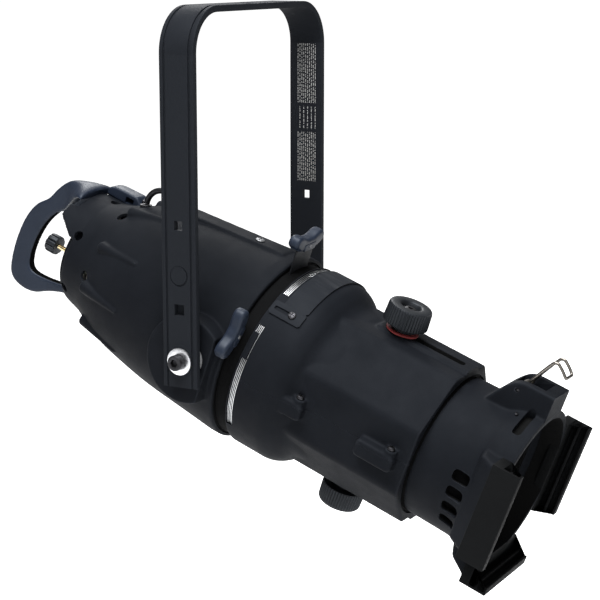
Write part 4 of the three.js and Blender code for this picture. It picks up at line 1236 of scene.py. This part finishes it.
def build_holder():
    sleeve = turned(rounded([
        (0, 237.5), (73.1, 237.5, 0.8), (74, 288, 8), (79.4, 299, 6), (82, 308, 6),
        (82, SLEEVE_FRONT, 0.8), (0, SLEEVE_FRONT)], 0, 6), 144)
    braces = []
    for angle in RAILS.values():
        brace = pillow(
            rounded([(-93, 317), (-78, 297), (-62, 293), (-62, 319), (-93, 319)], 3), 46, 4, 3)
        braces.append(moved(brace, turned_by(angle) @ plan_view()))
    body = cast(joined(sleeve, clip_housing(), *braces), 1.35, 3)
    body = cut(body, box((-150, -150, SLEEVE_FRONT), (150, 150, 400)), disc(100, 230, 237.5))
    bore = turned([
        (0, 232), (71.8, 232), (71.8, 297.4), (75.3, 303), (75.3, 350), (0, 350)], 144)
    pocket = box((-12, 86, 282), (12, 110, 312.5))
    pin_hole = rod((-25, *CLIP_PIVOT), (25, *CLIP_PIVOT), 2.3)
    slot = prism(rounded(rectangle(-4.6, -17, 4.6, 17), 4.4, 6), 60, 100)
    lie = turned_by(24.5) @ axes((0, 0, 1), (1, 0, 0), (0, 1, 0), (0, 0, 310.5))
    for name, angle in RAILS.items():
        shown(channel(angle), f"{name}_rail", "focus_tube", "body_paint", material=RAIL)
    body = cut(body, bore, pocket, pin_hole, moved(slot, lie), *tube_vents())
    shown(body, "front_holder", "focus_tube", "body_paint", ["accessory_holder"])
    # Dark sheet on the holder's inner wall: painted shade where that wall lies in shadow.
    shade_sheet = turned([(75.25, 303.4), (74.7, 303.4), (74.7, 324.8), (75.25, 324.8)], 128)
    shown(shade_sheet, "holder_painted_shade", "focus_tube", "body_paint", material=INNER_BLACK_AND_SHADE)
    pin = turned(smooth_post(1.95, -19, 19), 24)
    moved(pin, along((1, 0, 0), (0, *CLIP_PIVOT)))
    shown(pin, "clip_hinge_pin", "focus_tube", "stainless", ["clip_pin"], material=DARK_STEEL)
    place_screw(
        "clip_housing_screw", "focus_tube", around(80.6, -20, 299), around(1, -20, 0), 1.9, 0.9,
        slot="dark_steel")


def build_clip():
    y, z = CLIP_PIVOT
    half = 8.5
    side = [
        (y, z + 3), (100, 292.5), (113, 299), (126, 305.8), (131, 309), (131.4, 313), (127, 319),
        (121.5, 324.5)]
    path = [(-half, *p) for p in side] + [(half, *p) for p in reversed(side)]
    legs = tube(smooth_corners(path), 1.5, 12)
    sleeve = turned(rounded(rectangle(2.3, -9.5, 4.2, 9.5), 0.5), 48)
    moved(sleeve, along((1, 0, 0), (0, y, z)))
    clip = cut(joined(legs, sleeve), rod((-12, y, z), (12, y, z), 2.3))
    shown(clip, "wire_clip", "clip", "stainless", ["retaining_clip"], material=WIRE)


def smooth_corners(points, share=0.35, steps=5):
    """Open path with its corners rounded."""
    out = [tuple(points[0])]
    vectors = [Vector(p) for p in points]
    for before, here, after in zip(vectors, vectors[1:], vectors[2:], strict=False):
        size = min((before - here).length, (after - here).length) * share
        start = here + (before - here).normalized() * size
        end = here + (after - here).normalized() * size
        for k in range(steps + 1):
            t = k / steps
            out.append(tuple(start * (1 - t) ** 2 + here * 2 * t * (1 - t) + end * t * t))
    out.append(tuple(points[-1]))
    return out


def build_focus_knobs():
    def rib(angle):
        return -abs(math.sin(angle / 2)) ** 1.5

    for side, name in ((1, "top"), (-1, "bottom")):
        place = along((0, side, 0), (0, 0, KNOB_STATION))
        hub, base, top, radius = 86.6, 92, 112.5, 22.8
        profile = [
            (4.4, hub), (12.6, hub), (13, hub + 0.4), (13.6, base - 0.4), (14.4, base),
            (radius - 2.2, base), (radius - 0.8, base + 0.5, 0.4), (radius, base + 1.7, 1),
            (radius - 0.7, top - 3, 1), (radius - 1.1, top - 1.6, 0.5), (radius - 2, top - 0.5),
            (radius - 3.6, top), (12.4, top), (11.2, top - 0.35), (10.2, top - 1.4), (9, 105.6),
            (8.4, 105.2), (4.4, 105.2)]
        knob = moved(turned(profile, 288, 48, rib), place)
        shown(knob, f"{name}_knob", f"{name}_focus", "black_plastic", [f"{name}_focus_knob"])
        nut = eased(prism(circle(6.4, 6), 105.5, 109.5), 0.6)
        stud = joined(turned(smooth_post(4, 65, 106), 40), nut)
        stud = cut(stud, prism(circle(2.6, 6), 107, 111))
        shown(
            moved(stud, place), f"{name}_stud", f"{name}_focus", "zinc_steel",
            [f"{name}_focus_stud"], material=DARK_STEEL)
    washer = ring(4.4, 16.6, PAD_TOP + GAP, PAD_TOP + GAP + 1.6, 0.5, 96)
    moved(washer, along((0, 1, 0), (0, 0, KNOB_STATION)))
    shown(washer, "red_washer", "top_focus", "red_fibre", ["top_focus_washer"])


# ---- inside

def build_inside():
    """Reflector with facets, lamp and the rings that hold the gate."""
    mouth, half_width, half_length = -35, 86, 140
    rear_angle = math.acos(20 / half_width)

    def curve(grow, steps=14):
        turns = [rear_angle * i / steps for i in range(steps + 1)]
        return [
            ((half_width + grow) * math.cos(a), mouth - (half_length + grow) * math.sin(a))
            for a in turns]

    shell = turned([*curve(2.4), *reversed(curve(0))], 36)
    shown(shell, "faceted_reflector", "head", "mirror_coat", ["reflector"], smooth=1)
    clamp = ring(80, 93, -32.3, -28.5, 0.6)
    shown(clamp, "reflector_clamp", "head", "bare_aluminium", ["reflector_ring"])
    keeper = ring(46, 96.6, 23, 28.6, 0.6, 144)
    shown(keeper, "gate_keeper", "head", "gate_metal", ["gate_retainer"])
    turns = [math.pi / 2 * k / 8 for k in range(8)]
    tip = [(9 * math.cos(a), -120 + 13 * math.sin(a)) for a in turns]
    bulb = turned([(0, -159.5), (8, -159.5), (9, -158.4), *tip, (0, -107)], 64)
    shown(bulb, "quartz_bulb", "lamp_carrier", "lamp_glass", ["lamp_bulb"])
    fins = [(0, -183.6), (12, -183.6)]
    for i in range(3):
        start = -180 + i * 6.5
        fins += [(12, start), (15.2, start), (15.5, start + 0.4), (15.5, start + 2.6),
                 (15.2, start + 3), (12, start + 3)]
    base = turned([*fins, (12, -160), (0, -160)], 64)
    shown(base, "lamp_heat_sink", "lamp_carrier", "bare_aluminium", ["lamp_base"])
    socket = turned(rounded([
        (0, -201.4), (44, -201.4), (44, -197.9), (17, -197.9), (17, -184), (0, -184)], 0.8), 96)
    socket = cut(socket, lamp_screw_hole(-202.4, -187.4, 3))
    shown(socket, "ceramic_holder", "lamp_carrier", "ceramic", ["lamp_holder"])


# ---- stage

def build_stage():
    low, high = Vector(cad_box[0]), Vector(cad_box[1])
    centre = (low + high) / 2
    n = Nodes("pale_floor_painted_glow")
    # The floor glows though it is no lamp: painted light, dimmer within 0.7 m of the middle under the object and
    # brighter out to 2.2 m.
    reach = n.node("VectorMath", "Value", {0: n.place}, operation="LENGTH")
    n.set("Base Color", (0.92, 0.92, 0.92))
    n.set("Roughness", 0.9)
    n.set("Emission Color", (1, 1, 1))
    n.set("Emission Strength", n.between(reach, 0.7, 2.2, 0.2, 0.9))
    bpy.ops.mesh.primitive_plane_add(size=400, location=(centre.x, centre.y, low.z - 0.5))
    floor = bpy.context.object
    floor.name = "floor"
    floor.data.materials.append(n.material)
    world = bpy.data.worlds.new("studio")
    world.use_nodes = True
    background = world.node_tree.nodes["Background"]
    background.inputs["Color"].default_value = (1, 1, 1, 1)
    background.inputs["Strength"].default_value = 0.17
    bpy.context.scene.world = world
    bpy.context.scene.view_settings.view_transform = "Standard"


def area_light(name, direction, distance, size, power):
    """Soft light aimed at the middle of the object."""
    centre = (Vector(cad_box[0]) + Vector(cad_box[1])) / 2
    data = bpy.data.lights.new(name, "AREA")
    data.shape = "DISK"
    data.size = size
    data.energy = power
    light = bpy.data.objects.new(name, data)
    light.location = centre + Vector(direction).normalized() * distance
    light.rotation_euler = (centre - light.location).to_track_quat("-Z", "Y").to_euler()
    bpy.context.scene.collection.objects.link(light)


def build_lights():
    area_light("key", (-0.35, -0.1, 1.0), 2.6, 2.0, 230)
    area_light("front_fill", (-0.9, -0.8, 0.5), 3.0, 1.6, 30)
    area_light("rim", (0.9, 0.6, 0.9), 3.0, 1.4, 60)


def build_camera():
    data = bpy.data.cameras.new("camera")
    data.sensor_width = 36
    data.lens = 100.64
    data.clip_end = 100
    camera = bpy.data.objects.new("camera", data)
    camera.location = (-1.4329, -0.8682, 0.0466)
    forward = Vector((0.8533, 0.4808, -0.2019)).normalized()
    camera.rotation_euler = forward.to_track_quat("-Z", "Y").to_euler()
    bpy.context.scene.collection.objects.link(camera)
    bpy.context.scene.camera = camera


# ---- all together

dress_cad_nodes()
build_stage()
build_lights()
build_camera()
build_yoke()
build_printed_strip()
build_pivot_hardware()
build_tilt_lock()
build_housing()
build_lamp_cap()
build_handle()
build_lamp_knob()
build_gland()
build_safety_eye()
build_gate()
build_shutters()
build_barrel()
build_barrel_screws()
build_pattern_cover()
build_lens_tube()
build_holder()
build_clip()
build_focus_knobs()
build_inside()
